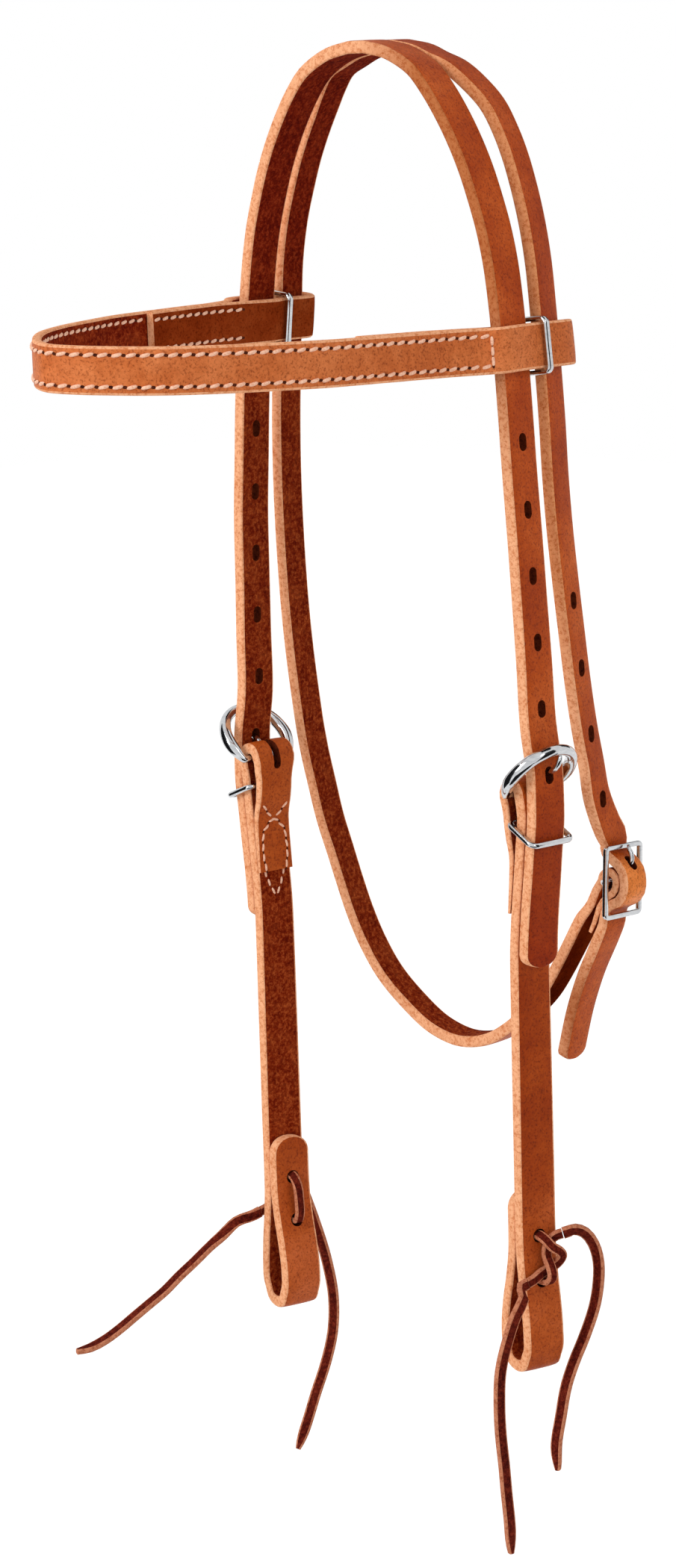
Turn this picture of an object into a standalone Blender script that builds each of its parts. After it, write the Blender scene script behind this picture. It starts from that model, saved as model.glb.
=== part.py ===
"""Western headstall: crown, cheeks, throatlatch and browband, hung as if on a head.

Metres, +Z up. The origin is the middle of the crown crest's underside. +X is the near side,
and the nose of the browband points along -Y. The crown strap is one piece: its crest is slit
into four branches, and the far rear branch runs on as the throatlatch.
"""

import math

import bmesh
import bpy
from mathutils import Matrix, Vector

# Straps
branch_width = 0.0161
throat_width = 0.0130
strap_thickness = 0.0050
slit_width = 0.0008
cheek_width = 0.0166
layer_gap = 0.0004
clearance = 0.0003
strap_spacing = 0.0085

# Crown branches and the buckles they meet
buckle_spread = 0.0688
cheek_bar_depth = 0.2798
throat_bar_spread = 0.0770
throat_bar_depth = 0.3218
throat_set_back = 0.0380
throat_drop = 0.4038
throat_bar_slope = 0.80
throat_tail_slope = 0.06
near_rear_turn = math.radians(8)
billet_tail_length = 0.0680

# Punched holes
hole_width = 0.0042
hole_height = 0.0068
hole_pitch = 0.0254
front_hole_count = 5
throat_hole_count = 4
throat_hole_lift = 0.0339
throat_hole_pitch = 0.0268
hole_sides = 16

# Cheek straps
fold_radius = 0.0019
fold_thickness = 0.0042
return_length = 0.0475
strap_settle = 0.0048
slot_width = 0.0036
slot_reach = 0.0046
fold_splay = 0.0028
cheek_drop = 0.2336
lap_spacing = 0.0004
lap_length = 0.0690
bit_gape = 0.0110
bit_bulge = 0.0040
bit_seat_width = 0.0050
lace_hole = 0.0056
lace_hole_pitch = 0.0180
lace_hole_rise = 0.0561

# Horseshoe buckles, their tongues and the wire keepers
arch_rise = 0.0172
arch_stand = 0.0160
arch_half_width = 0.0138
heel_half_width = 0.0118
arch_section = 0.0032
arch_flat = 0.0025
arch_swell = 1.45
tongue_wire = 0.0022
tongue_eye = 0.0030
keeper_wire = 0.0024
keeper_depth = 0.0116
keeper_reach = 0.0153
keeper_side_gap = 0.0007
keeper_corner = 0.0022
near_keeper_droop = math.radians(27)
far_keeper_droop = math.radians(21)
thread_wire = 0.0008

# Throat buckle
frame_height = 0.0295
frame_width = 0.0232
frame_stock = 0.0020
frame_thickness = 0.0019
frame_corner = 0.0024
frame_bevel = 0.0004
frame_lean = math.radians(-3)
throat_end_lean = math.radians(2)
bar_wire = 0.0024
bar_drop = 0.0023
throat_fold_thickness = 0.0034
throat_billet_thickness = 0.0042
throat_tongue_wire = 0.0020
throat_tongue_eye = 0.0026

# Browband
band_height = 0.0172
band_thickness = 0.0036
band_reach = 0.1730
band_depth = 0.1063
band_tilt = 0.064
band_clearance = 0.0017
band_lap_thickness = 0.0030
band_spacing = 0.0080
band_dip = 0.0007
band_wire = 0.0019
band_wire_width = 0.0030
band_loop_corner = 0.0015
stitch_inset = 0.0030

# Laces
lace_wire = 0.0032

# Half of the crown's centre line from the crest down to the heel bar: the share of the
# billet's spread, then the share of the depth of the bar.
crown_shares = (
    (0.05, 0.0),
    (0.183, 0.0074),
    (0.265, 0.017),
    (0.354, 0.032),
    (0.445, 0.0595),
    (0.520, 0.089),
    (0.600, 0.127),
    (0.663, 0.164),
    (0.714, 0.202),
    (0.758, 0.240),
    (0.791, 0.279),
    (0.826, 0.342),
    (0.851, 0.406),
    (0.875, 0.484),
    (0.894, 0.565),
    (0.915, 0.647),
    (0.929, 0.732),
    (0.944, 0.820),
    (0.958, 0.909),
    (0.996, 0.972),
    (1.0, 1.0),
)
crest_stations = 3

# Both rear branches from beside the crest: shares of the throat bar's spread, set back and depth.
rear_shares = (
    (0.383, 0.205, 0.0186),
    (0.487, 0.276, 0.0404),
    (0.564, 0.330, 0.0622),
    (0.642, 0.343, 0.0932),
    (0.703, 0.341, 0.1243),
    (0.750, 0.336, 0.1554),
    (0.804, 0.325, 0.1989),
    (0.844, 0.320, 0.2486),
    (0.863, 0.323, 0.2952),
    (0.888, 0.329, 0.3729),
    (0.906, 0.329, 0.4351),
    (0.917, 0.333, 0.4972),
    (0.928, 0.356, 0.5594),
    (0.940, 0.397, 0.6215),
    (0.951, 0.450, 0.6837),
    (0.958, 0.515, 0.7458),
    (0.965, 0.601, 0.8080),
    (0.973, 0.681, 0.8546),
)
near_rear_shares = ((0.979, 0.720, 0.8857),)
far_rear_shares = (
    (0.979, 0.750, 0.8857),
    (0.982, 0.845, 0.925),
    (0.981, 0.970, 0.978),
)

# The throatlatch under the jaw: shares of the bar's spread, of its set back, and of the way
# from the bar's depth down to the lowest place. The spread's sign is the side.
throatlatch_shares = (
    (-0.955, 1.053, 0.079),
    (-0.914, 1.105, 0.244),
    (-0.866, 1.150, 0.402),
    (-0.800, 1.195, 0.556),
    (-0.705, 1.245, 0.708),
    (-0.560, 1.296, 0.846),
    (-0.372, 1.327, 0.960),
    (-0.215, 1.358, 1.000),
    (-0.080, 1.357, 0.987),
    (0.045, 1.334, 0.945),
    (0.167, 1.300, 0.877),
    (0.305, 1.258, 0.778),
    (0.428, 1.221, 0.670),
    (0.532, 1.179, 0.550),
    (0.616, 1.142, 0.441),
    (0.688, 1.108, 0.345),
    (0.778, 1.066, 0.226),
)

# The throat billet through its buckle: shares of its bulge outboard of the bar, and of half
# the frame's height, from above the frame down to the tip of the tail.
billet_bulge_shares = (
    (-0.215, 1.500),
    (-0.290, 1.017),
    (-0.310, 0.881),
    (-0.220, 0.746),
    (0.000, 0.651),
    (0.282, 0.569),
    (0.590, 0.468),
    (0.846, 0.312),
    (0.962, 0.149),
    (1.000, 0.000),
    (0.974, -0.169),
    (0.859, -0.339),
    (0.590, -0.515),
    (0.128, -0.637),
    (-0.232, -0.766),
    (-0.360, -0.922),
    (-0.480, -1.200),
    (-0.900, -1.650),
    (-1.350, -2.080),
    (-1.880, -2.576),
    (-2.760, -3.600),
    (-3.790, -5.240),
)
# The end of the throatlatch below its bar, inboard and outboard of it, in the same shares.
throat_end_shares = ((-1.180, -0.660), (-0.840, -0.300), (-0.570, -0.090))
throat_return_shares = (
    (0.410, -0.149),
    (0.240, -0.298),
    (-0.115, -0.427),
    (-0.410, -0.556),
    (-0.667, -0.732),
    (-0.846, -0.949),
    (-1.030, -1.190),
    (-1.300, -1.450),
)

# The cheek strap and the billet's tail draw in below the heel bar: the share of the tail's
# length, and the share of the settle that the strap has made there.
settle_shares = ((0, 0), (0.16, 0), (0.32, 0.23), (0.51, 0.48), (0.71, 0.77), (0.90, 0.96), (1.2, 1))
# The return behind the fold: share of its length, its thickness as a share of the strap's, and
# the share of the gap between it and the strap that is left open for the keeper.
return_shares = (
    (0.00, 0.84, 1.0),
    (0.12, 0.80, 1.0),
    (0.24, 0.72, 1.0),
    (0.36, 0.64, 0.72),
    (0.52, 0.52, 0.15),
    (0.67, 0.44, 0.05),
    (0.82, 0.36, 0.05),
    (1.00, 0.26, 0.05),
)
# How far back a front branch and its cheek hang, as shares of the branch's width, at shares of
# the heel bar's depth.
drift_shares = (
    (0.05, 0.0),
    (0.18, 0.05),
    (0.30, 0.08),
    (0.46, 0.03),
    (0.62, 0.02),
    (0.78, 0.09),
    (0.90, 0.135),
    (1.05, 0.12),
    (1.40, 0.10),
    (1.60, 0.09),
)
# How far the cheek is turned about the vertical, at shares of the heel bar's depth.
turn_shares = ((0.50, 0.0), (0.75, 0.10), (1.0, 0.45), (1.22, 0.70), (1.55, 1.0))
cheek_turn = math.radians(17)

# Bit loop: how far each layer has bulged at shares of the loop's depth under the upper hole.
loop_shares = ((0.0, 0.0), (0.13, 0.05), (0.32, 0.35), (0.52, 0.78), (0.70, 1.0), (0.82, 0.94))
loop_depth = 0.0565
# Floor of the bit loop: shares of the bit seat's width out from its middle, and of the
# strap's thickness up from its lowest place.
loop_floor_shares = ((1.24, 0.80), (0.98, 0.26), (0.5, 0.0))

# Browband from the middle of the brow back to the front branch: shares of the branch's
# spread at the band, and of the band's reach.
band_shares = (
    (0.000, 1.000),
    (0.113, 0.985),
    (0.299, 0.929),
    (0.461, 0.858),
    (0.609, 0.753),
    (0.730, 0.624),
    (0.816, 0.515),
    (0.867, 0.396),
    (0.917, 0.266),
    (0.956, 0.154),
    (1.012, 0.089),
)
band_lap_shares = (0.020, 0.085, 0.154, 0.266, 0.350, 0.410)


def clear_scene():
    for item in list(bpy.data.objects):
        bpy.data.objects.remove(item, do_unlink=True)


def new_collection(name):
    made = bpy.data.collections.new(name)
    bpy.context.scene.collection.children.link(made)
    return made


def new_material(name, colour, roughness, metallic):
    made = bpy.data.materials.new(name)
    made.use_nodes = True
    shader = made.node_tree.nodes["Principled BSDF"]
    shader.inputs["Base Color"].default_value = (*colour, 1)
    shader.inputs["Roughness"].default_value = roughness
    shader.inputs["Metallic"].default_value = metallic
    made.diffuse_color = (*colour, 1)
    return made


clear_scene()
parts = new_collection("western_headstall")
cutters = new_collection("cutters")
russet = new_material("russet_leather", (0.42, 0.16, 0.055), 0.5, 0.0)
latigo = new_material("latigo_lace", (0.16, 0.03, 0.02), 0.5, 0.0)
steel = new_material("bright_steel", (0.75, 0.75, 0.77), 0.15, 1.0)
thread = new_material("waxed_thread", (0.75, 0.55, 0.45), 0.7, 0.0)


def smooth_line(points, spacing):
    """Points about a spacing apart on one smooth curve through the given ones."""
    lengths = [(b - a).length for a, b in zip(points, points[1:])]
    slopes = [(b - a) / d for a, b, d in zip(points, points[1:], lengths)]
    tangents = [slopes[0]]
    for before, after, back, ahead in zip(slopes, slopes[1:], lengths, lengths[1:]):
        tangents.append((before * ahead + after * back) / (back + ahead))
    tangents.append(slopes[-1])
    line = []
    for i, length in enumerate(lengths):
        steps = max(1, round(length / spacing))
        for step in range(steps):
            t = step / steps
            line.append(
                points[i] * (1 + 2 * t) * (1 - t) ** 2
                + tangents[i] * length * t * (1 - t) ** 2
                + points[i + 1] * t * t * (3 - 2 * t)
                - tangents[i + 1] * length * t * t * (1 - t)
            )
    line.append(points[-1].copy())
    return line


def tangents_of(line):
    ahead = line[1:] + [2 * line[-1] - line[-2]]
    behind = [2 * line[0] - line[1]] + line[:-1]
    return [(b - a).normalized() for a, b in zip(behind, ahead)]


def square_to(across, tangent):
    """The direction nearest to across that is square to the tangent."""
    return (across - tangent * across.dot(tangent)).normalized()


def at_share(table, share, column=1):
    """A column of a table of shares, read between its rows."""
    rows = list(table)
    if share <= rows[0][0]:
        return rows[0][column]
    for low, high in zip(rows, rows[1:]):
        if share <= high[0]:
            part = (share - low[0]) / (high[0] - low[0])
            return low[column] + part * (high[column] - low[column])
    return rows[-1][column]


def link(name, data, material, collection=parts):
    made = bpy.data.objects.new(name, data)
    collection.objects.link(made)
    data.materials.append(material)
    return made


def finish_ribbon(name, mesh_edit, thickness, weights, material):
    """An object from an open strip, thickened evenly to both sides of it."""
    bmesh.ops.recalc_face_normals(mesh_edit, faces=mesh_edit.faces)
    mesh = bpy.data.meshes.new(name)
    mesh_edit.to_mesh(mesh)
    mesh_edit.free()
    made = link(name, mesh, material)
    group = made.vertex_groups.new(name="thickness")
    for index, weight in enumerate(weights):
        group.add([index], weight, "REPLACE")
    shell = made.modifiers.new("thickness", "SOLIDIFY")
    shell.thickness = thickness
    shell.offset = 0
    shell.use_even_offset = True
    shell.vertex_group = group.name
    return made


def ribbon(name, line, acrosses, half_width, thickness, weights, material, narrowing=None):
    """A strap along a line, as wide as given along each across direction."""
    strip = bmesh.new()
    rails = []
    for i, (point, across) in enumerate(zip(line, acrosses)):
        half = half_width * (narrowing[i] if narrowing else 1)
        rails.append((strip.verts.new(point - across * half), strip.verts.new(point + across * half)))
    for (a, b), (c, d) in zip(rails, rails[1:]):
        strip.faces.new((a, b, d, c))
    doubled = [weight for weight in weights for _ in range(2)]
    return finish_ribbon(name, strip, thickness, doubled, material)


def slot_cutter(width, height, depth, frame):
    """A round-ended cutter: the frame's Z is the way through, and its Y is the slot's length."""
    shape = bmesh.new()
    bmesh.ops.create_cone(
        shape, cap_ends=True, segments=hole_sides, radius1=width / 2, radius2=width / 2, depth=depth
    )
    stretch = (height - width) / 2
    for vertex in shape.verts:
        vertex.co.y += math.copysign(stretch, vertex.co.y) if abs(vertex.co.y) > width / 9 else 0
    bmesh.ops.transform(shape, matrix=frame, verts=shape.verts)
    return shape


def cut_all(target, shapes, name):
    """One hidden cutter from several separate shapes, taken out of the target."""
    mesh = bpy.data.meshes.new(name)
    whole = bmesh.new()
    for shape in shapes:
        piece = bpy.data.meshes.new(name + "_piece")
        shape.to_mesh(piece)
        shape.free()
        whole.from_mesh(piece)
        bpy.data.meshes.remove(piece)
    bmesh.ops.recalc_face_normals(whole, faces=whole.faces)
    whole.to_mesh(mesh)
    whole.free()
    cutter = bpy.data.objects.new(name, mesh)
    cutters.objects.link(cutter)
    cutter.hide_render = True
    cutter.display_type = "WIRE"
    cut = target.modifiers.new(name, "BOOLEAN")
    cut.operation = "DIFFERENCE"
    cut.object = cutter


def frame_from(origin, x_axis, y_axis):
    """A placing whose X and Y follow the given directions."""
    x_axis = x_axis.normalized()
    z_axis = x_axis.cross(y_axis).normalized()
    y_axis = z_axis.cross(x_axis)
    turn = Matrix((x_axis, y_axis, z_axis)).transposed().to_4x4()
    return Matrix.Translation(origin) @ turn


def wire(name, line, radius, material, cyclic=False, radii=None, resolution=2, collection=parts):
    """A round wire along the points of a line, in world coordinates."""
    data = bpy.data.curves.new(name, "CURVE")
    data.dimensions = "3D"
    data.bevel_depth = radius
    data.bevel_resolution = resolution
    data.use_fill_caps = not cyclic
    data.twist_mode = "MINIMUM"
    path = data.splines.new("POLY")
    path.points.add(len(line) - 1)
    for i, (point, place) in enumerate(zip(path.points, line)):
        point.co = (*place, 1)
        point.radius = radii[i] if radii else 1
    path.use_cyclic_u = cyclic
    return link(name, data, material, collection)


def as_mesh(curve, name):
    """A mesh object in place of a curve, its caps welded."""
    bpy.context.view_layer.update()
    graph = bpy.context.evaluated_depsgraph_get()
    mesh = bpy.data.meshes.new_from_object(curve.evaluated_get(graph))
    mesh.transform(curve.matrix_world)
    bpy.data.objects.remove(curve, do_unlink=True)
    edit = bmesh.new()
    edit.from_mesh(mesh)
    bmesh.ops.remove_doubles(edit, verts=edit.verts, dist=0.00001)
    bmesh.ops.recalc_face_normals(edit, faces=edit.faces)
    edit.to_mesh(mesh)
    edit.free()
    made = bpy.data.objects.new(name, mesh)
    parts.objects.link(made)
    return made


def set_origin(made, spot):
    """Moves an object's origin to a spot without moving its shape."""
    made.data.transform(Matrix.Translation(-spot))
    made.location = spot


def arc(centre, radius, start, end, steps, right, up):
    """Points on an arc in the plane of right and up, from one angle to the other."""
    angles = [start + (end - start) * i / steps for i in range(steps + 1)]
    return [centre + (right * math.cos(a) + up * math.sin(a)) * radius for a in angles]


# Places that several pieces share
up = Vector((0, 0, 1))
half_strap = strap_thickness / 2
fold_middle = fold_radius + half_strap
layer_step = strap_thickness + layer_gap
billet_spread = buckle_spread + fold_middle + layer_step
branch_set = (branch_width + slit_width) / 2
throat_set = (throat_width + slit_width) / 2
sides = {"near": 1, "far": -1}


def turn_at(height):
    return cheek_turn * at_share(turn_shares, -height / cheek_bar_depth)


def rear_way(height):
    turn = turn_at(height)
    return Vector((math.sin(turn), math.cos(turn), 0))


def outboard_way(side, height):
    turn = turn_at(height)
    return Vector((side * math.cos(turn), -side * math.sin(turn), 0))


def strap_line(height):
    """How far the cheek strap's middle stands from the centre plane at a height."""
    share = (-height - cheek_bar_depth) / billet_tail_length
    return buckle_spread + fold_middle - strap_settle * at_share(settle_shares, share)


def place(side, spread, along, height):
    """A point of a cheek: its spread from the centre plane, rearward offset and height."""
    middle = strap_line(height)
    drift = branch_width * at_share(drift_shares, -height / cheek_bar_depth)
    base = Vector((side * middle, drift - branch_set, height))
    return base + outboard_way(side, height) * (spread - middle) + rear_way(height) * along


def profile_points():
    """Half of the crown's centre line, as spread and height."""
    depth = cheek_bar_depth + half_strap
    return [Vector((spread * billet_spread, half_strap - drop * depth)) for spread, drop in crown_shares]


def front_line(side):
    """The front billet's centre line below the crest, down to its tip."""
    points = [place(side, p.x, 0, p.y) for p in profile_points()[crest_stations:]]
    for share in (0.16, 0.33, 0.5, 0.7, 0.85, 1.0):
        height = -cheek_bar_depth - share * billet_tail_length
        points.append(place(side, strap_line(height) + layer_step, 0, height))
    return points


throat_bar = Vector((throat_bar_spread, throat_set_back, -throat_bar_depth))
lean_up = Vector((0, -math.sin(frame_lean), math.cos(frame_lean)))
lean_rear = Vector((0, math.cos(frame_lean), math.sin(frame_lean)))
throat_bulge = fold_radius + throat_fold_thickness + clearance + throat_billet_thickness / 2
throat_fold = fold_radius + throat_fold_thickness / 2


def throat_place(spread_share, rise_share):
    """A point in the middle plane of the throat buckle."""
    rise = rise_share * frame_height / 2
    inside = max(-0.75 * frame_height, min(0.55 * frame_height, rise))
    lean, slope = (frame_lean, throat_bar_slope) if rise > 0 else (throat_end_lean, throat_tail_slope)
    back = throat_set_back - inside * math.tan(lean) - (rise - inside) * slope
    spread = throat_bar_spread + spread_share * throat_bulge
    return Vector((spread, back, rise * math.cos(frame_lean) - throat_bar_depth))


def rear_line(side):
    """A rear branch's centre line below the crest, down to where it comes to the throat buckle."""
    points = []
    for spread, back, depth in rear_shares + (near_rear_shares if side > 0 else far_rear_shares):
        points.append(
            Vector((side * spread * throat_bar_spread, back * throat_set_back, -depth * throat_bar_depth))
        )
    return points


def throat_across(height):
    """Across the rear straps: level, but leaning with the throat buckle inside its frame."""
    near = max(0.0, min(1.0, 2.2 - abs(height + throat_bar_depth) / (frame_height / 2)))
    return Vector((0, math.cos(frame_lean * near), math.sin(frame_lean * near)))


def billet_across(height):
    """Across the throat billet, which is turned on its way from the crest down to the buckle."""
    above = (height + throat_bar_depth) / frame_height
    fade = max(0.0, min(1.0, -height / (2 * throat_width), above - 0.6))
    across = throat_across(height)
    turn = near_rear_turn * fade
    return Vector((-math.sin(turn), across.y * math.cos(turn), across.z))


def throat_billet_line():
    return rear_line(1) + [throat_place(spread, rise) for spread, rise in billet_bulge_shares]


def throatlatch_line():
    """The far rear branch, under the jaw and up to the fold over the throat buckle's bar."""
    points = rear_line(-1)
    fall = throat_drop - throat_bar_depth
    for spread, back, drop in throatlatch_shares:
        points.append(
            Vector((spread * throat_bar_spread, back * throat_set_back, -throat_bar_depth - drop * fall))
        )
    points += [throat_place(spread, rise) for spread, rise in throat_end_shares]
    return points


def throat_fold_line():
    """The fold over the bar and the skived return that hangs outboard of it."""
    outboard = Vector((1, 0, 0))
    fold = arc(throat_bar, throat_fold, math.pi, 0, 8, outboard, lean_up)
    return fold + [throat_place(spread, rise) for spread, rise in throat_return_shares]


def branch_strip(strip, start, line, rearward, narrowing, widths, weights, weight_of):
    """Runs a branch on from its two crest corners along a line of centres."""
    first, second = start
    middles = [(first.co + second.co) / 2] + line
    acrosses = [square_to(rearward(p.z), t) for p, t in zip(middles, tangents_of(middles))][1:]
    for i, (point, across) in enumerate(zip(line, acrosses)):
        half = widths / 2 * narrowing(i, len(line))
        third = strip.verts.new(point - across * half)
        fourth = strip.verts.new(point + across * half)
        weights += [weight_of(i, point)] * 2
        strip.faces.new((first, second, fourth, third))
        first, second = third, fourth
    return acrosses


# The stations of a strap's blunt tip: how far each lies from the end, and half of how wide the
# strap is there, both as shares of its half width.
tip_shares = ((0.66, 1.0), (0.36, 0.84), (0.12, 0.52), (0.0, 0.26))


def rounded_tip(i, count):
    """The share of the full width that a strap keeps near its blunt tip."""
    left = count - i
    return tip_shares[-left][1] if left <= len(tip_shares) else 1.0


def square_end(i, count):
    return 1.0


def tipped(line, half_width):
    """The line with closer stations near its end, where the tip is drawn in."""
    last, before = line[-1], line[-2]
    way = (last - before).normalized()
    return line[:-1] + [last - way * half_width * share for share, _ in tip_shares]


def make_crown():
    """The slit crown strap with its billets, throatlatch and holes."""
    strip = bmesh.new()
    weights = []
    profile = profile_points()[:crest_stations]
    edges = (-branch_set - branch_width / 2, -slit_width / 2, slit_width / 2, throat_set + throat_width / 2)
    crest = [Vector((-p.x, 0, p.y)) for p in reversed(profile)] + [Vector((p.x, 0, p.y)) for p in profile]
    rows = []
    for point in crest:
        rows.append([strip.verts.new(point + Vector((0, edge, 0))) for edge in edges])
        weights += [1.0] * 4
    for row, after in zip(rows, rows[1:]):
        for a, b, c, d in zip(row, row[1:], after, after[1:]):
            strip.faces.new((a, b, d, c))
    holes = []
    for side, ends in ((1, rows[-1]), (-1, rows[0])):
        line = smooth_line([(ends[0].co + ends[1].co) / 2] + front_line(side), strap_spacing)[1:]
        line = tipped(line, branch_width / 2)
        branch_strip(strip, ends[:2], line, rear_way, rounded_tip, branch_width, weights, lambda i, p: 1.0)
        holes += front_holes(side)
    # Near rear branch: the throat billet
    ends = rows[-1]
    line = smooth_line([(ends[2].co + ends[3].co) / 2] + throat_billet_line(), strap_spacing)[1:]
    line = tipped(line, throat_width / 2)

    def billet_weight(i, point):
        inside = abs(point.z - throat_bar.z) < frame_height * 0.62
        return throat_billet_thickness / strap_thickness if inside else 0.98

    branch_strip(
        strip, ends[2:], line, billet_across, rounded_tip, throat_width, weights, billet_weight
    )
    holes += throat_holes()
    # Far rear branch: the throatlatch, folded over the buckle's bar
    ends = rows[0]
    line = smooth_line([(ends[2].co + ends[3].co) / 2] + throatlatch_line(), strap_spacing)[1:]
    long_run = len(line)
    fold = throat_fold_line()
    line += fold
    fold_share = throat_fold_thickness / strap_thickness

    def latch_weight(i, point):
        if i < long_run - 2:
            return 1.0
        if i < long_run:
            return 0.85
        after = (i - long_run - 8) / (len(fold) - 9)
        return fold_share if after <= 0 else fold_share * (1 - 0.5 * after)

    branch_strip(
        strip, ends[2:], line, throat_across, square_end, throat_width, weights, latch_weight
    )
    crown = finish_ribbon("crown_strap", strip, strap_thickness, weights, russet)
    slot_top = fold_radius + throat_fold_thickness + clearance / 2
    low = slot_reach - clearance
    middle = throat_bar + lean_up * (slot_top - low) / 2
    slot_frame = frame_from(middle, -lean_rear, lean_up)
    slot = slot_cutter(slot_width, slot_top + low, 2 * slot_top, slot_frame)
    cut_all(crown, holes, "billet_hole_cutter")
    cut_all(crown, [slot], "throat_slot_cutter")
    return crown


def hole_frame(point, way, across):
    """A punch square to a strap: along the strap is the hole's length."""
    return frame_from(point, across, way)


def front_holes(side):
    """The billet's holes, the lowest where the tongue passes and the rest at their pitch."""
    dense = smooth_line(
        [place(side, p.x, 0, p.y) for p in profile_points()[crest_stations:]], hole_pitch / 50
    )
    rise = 2.5 * tongue_eye
    start = min(range(len(dense)), key=lambda i: abs(dense[i].z + cheek_bar_depth - rise))
    shapes = []
    run = 0
    wanted = 0
    for i in range(start, 1, -1):
        if run >= wanted * hole_pitch and wanted <= front_hole_count:
            way = (dense[i - 1] - dense[i + 1]).normalized()
            across = square_to(rear_way(dense[i].z), way)
            frame = hole_frame(dense[i], way, across)
            shapes.append(slot_cutter(hole_width, hole_height, 2 * strap_thickness, frame))
            wanted += 1
        run += (dense[i] - dense[i - 1]).length
    return shapes


def throat_holes():
    """The throat billet's holes: one for the tongue, and a row above the buckle."""
    angle = math.radians(50)
    outboard = Vector((1, 0, 0))
    way_out = outboard * math.cos(angle) + lean_up * math.sin(angle)
    along = lean_up * math.cos(angle) - outboard * math.sin(angle)
    frame = frame_from(throat_bar + way_out * throat_bulge, lean_rear, along)
    shapes = [slot_cutter(hole_width, hole_height, 1.5 * strap_thickness, frame)]
    dense = smooth_line(rear_line(1) + [throat_place(*billet_bulge_shares[0])], hole_pitch / 50)
    level = throat_bar.z + throat_hole_lift
    start = min(range(len(dense)), key=lambda i: abs(dense[i].z - level))
    run = 0
    wanted = 0
    for i in range(start, 1, -1):
        if run >= wanted * throat_hole_pitch and wanted < throat_hole_count:
            way = (dense[i - 1] - dense[i]).normalized()
            across = square_to(Vector((0, 1, 0)), way)
            shapes.append(
                slot_cutter(hole_width, hole_height, 2 * strap_thickness, hole_frame(dense[i], way, across))
            )
            wanted += 1
        run += (dense[i] - dense[i - 1]).length
    return shapes


crown_strap = make_crown()

# Heights down the cheek
bar_height = -cheek_bar_depth
upper_hole_height = bar_height - cheek_drop + lace_hole_rise
lower_hole_height = upper_hole_height - lace_hole_pitch
loop_low = bar_height - cheek_drop
strap_end = buckle_spread + fold_middle - strap_settle
lap_middle = strap_end - strap_thickness - lap_spacing


def loop_bulge(height, amount):
    share = (upper_hole_height - height) / loop_depth
    return amount * at_share(loop_shares, share)


def cheek_path():
    """Cheek strap in its own plane, from the return's end over the fold to the lap's end.

    Each item is spread, height and the share of the full thickness.
    """
    path = []
    cavity = 2 * fold_radius + keeper_wire / 6
    for share, thin, opening in reversed(return_shares):
        height = bar_height - share * return_length
        inner_face = strap_line(height) - half_strap
        gap = clearance + opening * (cavity - clearance)
        path.append((inner_face - gap - thin * half_strap, height, thin))
    fold_steps = 9
    for i in range(1, fold_steps):
        angle = math.pi * (1 - i / fold_steps)
        thin = fold_thickness / strap_thickness
        thin += (1 - thin) * i / fold_steps
        reach = fold_radius + thin * half_strap
        path.append((buckle_spread + reach * math.cos(angle), bar_height + reach * math.sin(angle), thin))
    for share, _ in settle_shares:
        height = bar_height - share * billet_tail_length
        path.append((strap_line(height), height, 1.0))
    below = bar_height - settle_shares[-1][0] * billet_tail_length
    for share in (0.25, 0.5, 0.75):
        height = below + share * (upper_hole_height - below)
        path.append((strap_line(height), height, 1.0))
    for share, _ in loop_shares:
        height = upper_hole_height - share * loop_depth
        path.append((strap_end + loop_bulge(height, bit_bulge), height, 1.0))
    lap_bulge = bit_gape - lap_spacing - bit_bulge
    seat = (strap_end + lap_middle + bit_bulge - lap_bulge) / 2
    floor_points = [(-wide, lift) for wide, lift in reversed(loop_floor_shares)]
    for wide, lift in list(loop_floor_shares) + floor_points:
        path.append((seat + wide * bit_seat_width, loop_low + half_strap + lift * strap_thickness, 1.0))
    for share, _ in reversed(loop_shares):
        height = upper_hole_height - share * loop_depth
        path.append((lap_middle - loop_bulge(height, lap_bulge), height, 1.0))
    path.append((lap_middle, loop_low + lap_length, 1.0))
    return path


def make_cheek_strap(name, side):
    """A cheek strap, folded round the heel bar above and round the bit below."""
    line, weights, narrowing = [], [], []
    splay_reach = 2 * slot_reach
    for spread, height, thin in cheek_path():
        line.append(place(side, spread, 0, height))
        weights.append(thin)
        low = max(0.0, min(1.0, (bar_height - height) / splay_reach))
        narrowing.append(1 + fold_splay / cheek_width * (1 - low))
    corner = cheek_width / 4
    line.append(line[-1] + up * corner)
    weights.append(1.0)
    narrowing.append(0.35)
    acrosses = [square_to(rear_way(p.z), t) for p, t in zip(line, tangents_of(line))]
    strap = ribbon(name, line, acrosses, cheek_width / 2, strap_thickness, weights, russet, narrowing)
    rear = rear_way(bar_height)
    slot_top = fold_radius + strap_thickness + clearance
    bar = place(side, buckle_spread, 0, bar_height)
    middle = bar + up * (slot_top - slot_reach) / 2
    deep = 2 * (fold_radius + strap_thickness + clearance)
    slot = slot_cutter(slot_width, slot_top + slot_reach, deep, frame_from(middle, rear, up))
    holes = [slot]
    for height in (upper_hole_height, lower_hole_height):
        spread = (strap_end + lap_middle) / 2
        frame = frame_from(place(side, spread, 0, height), rear_way(height), up)
        holes.append(slot_cutter(lace_hole, lace_hole, 8 * strap_thickness, frame))
    cut_all(strap, holes, name + "_cutter")
    set_origin(strap, bar)
    return strap


# Where the stations of an arch's legs lie, as shares of their height, and the steps of its round.
arch_leg_shares = (0.0, 0.12, 0.4, 0.7, 1.0)
arch_steps = 6


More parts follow.
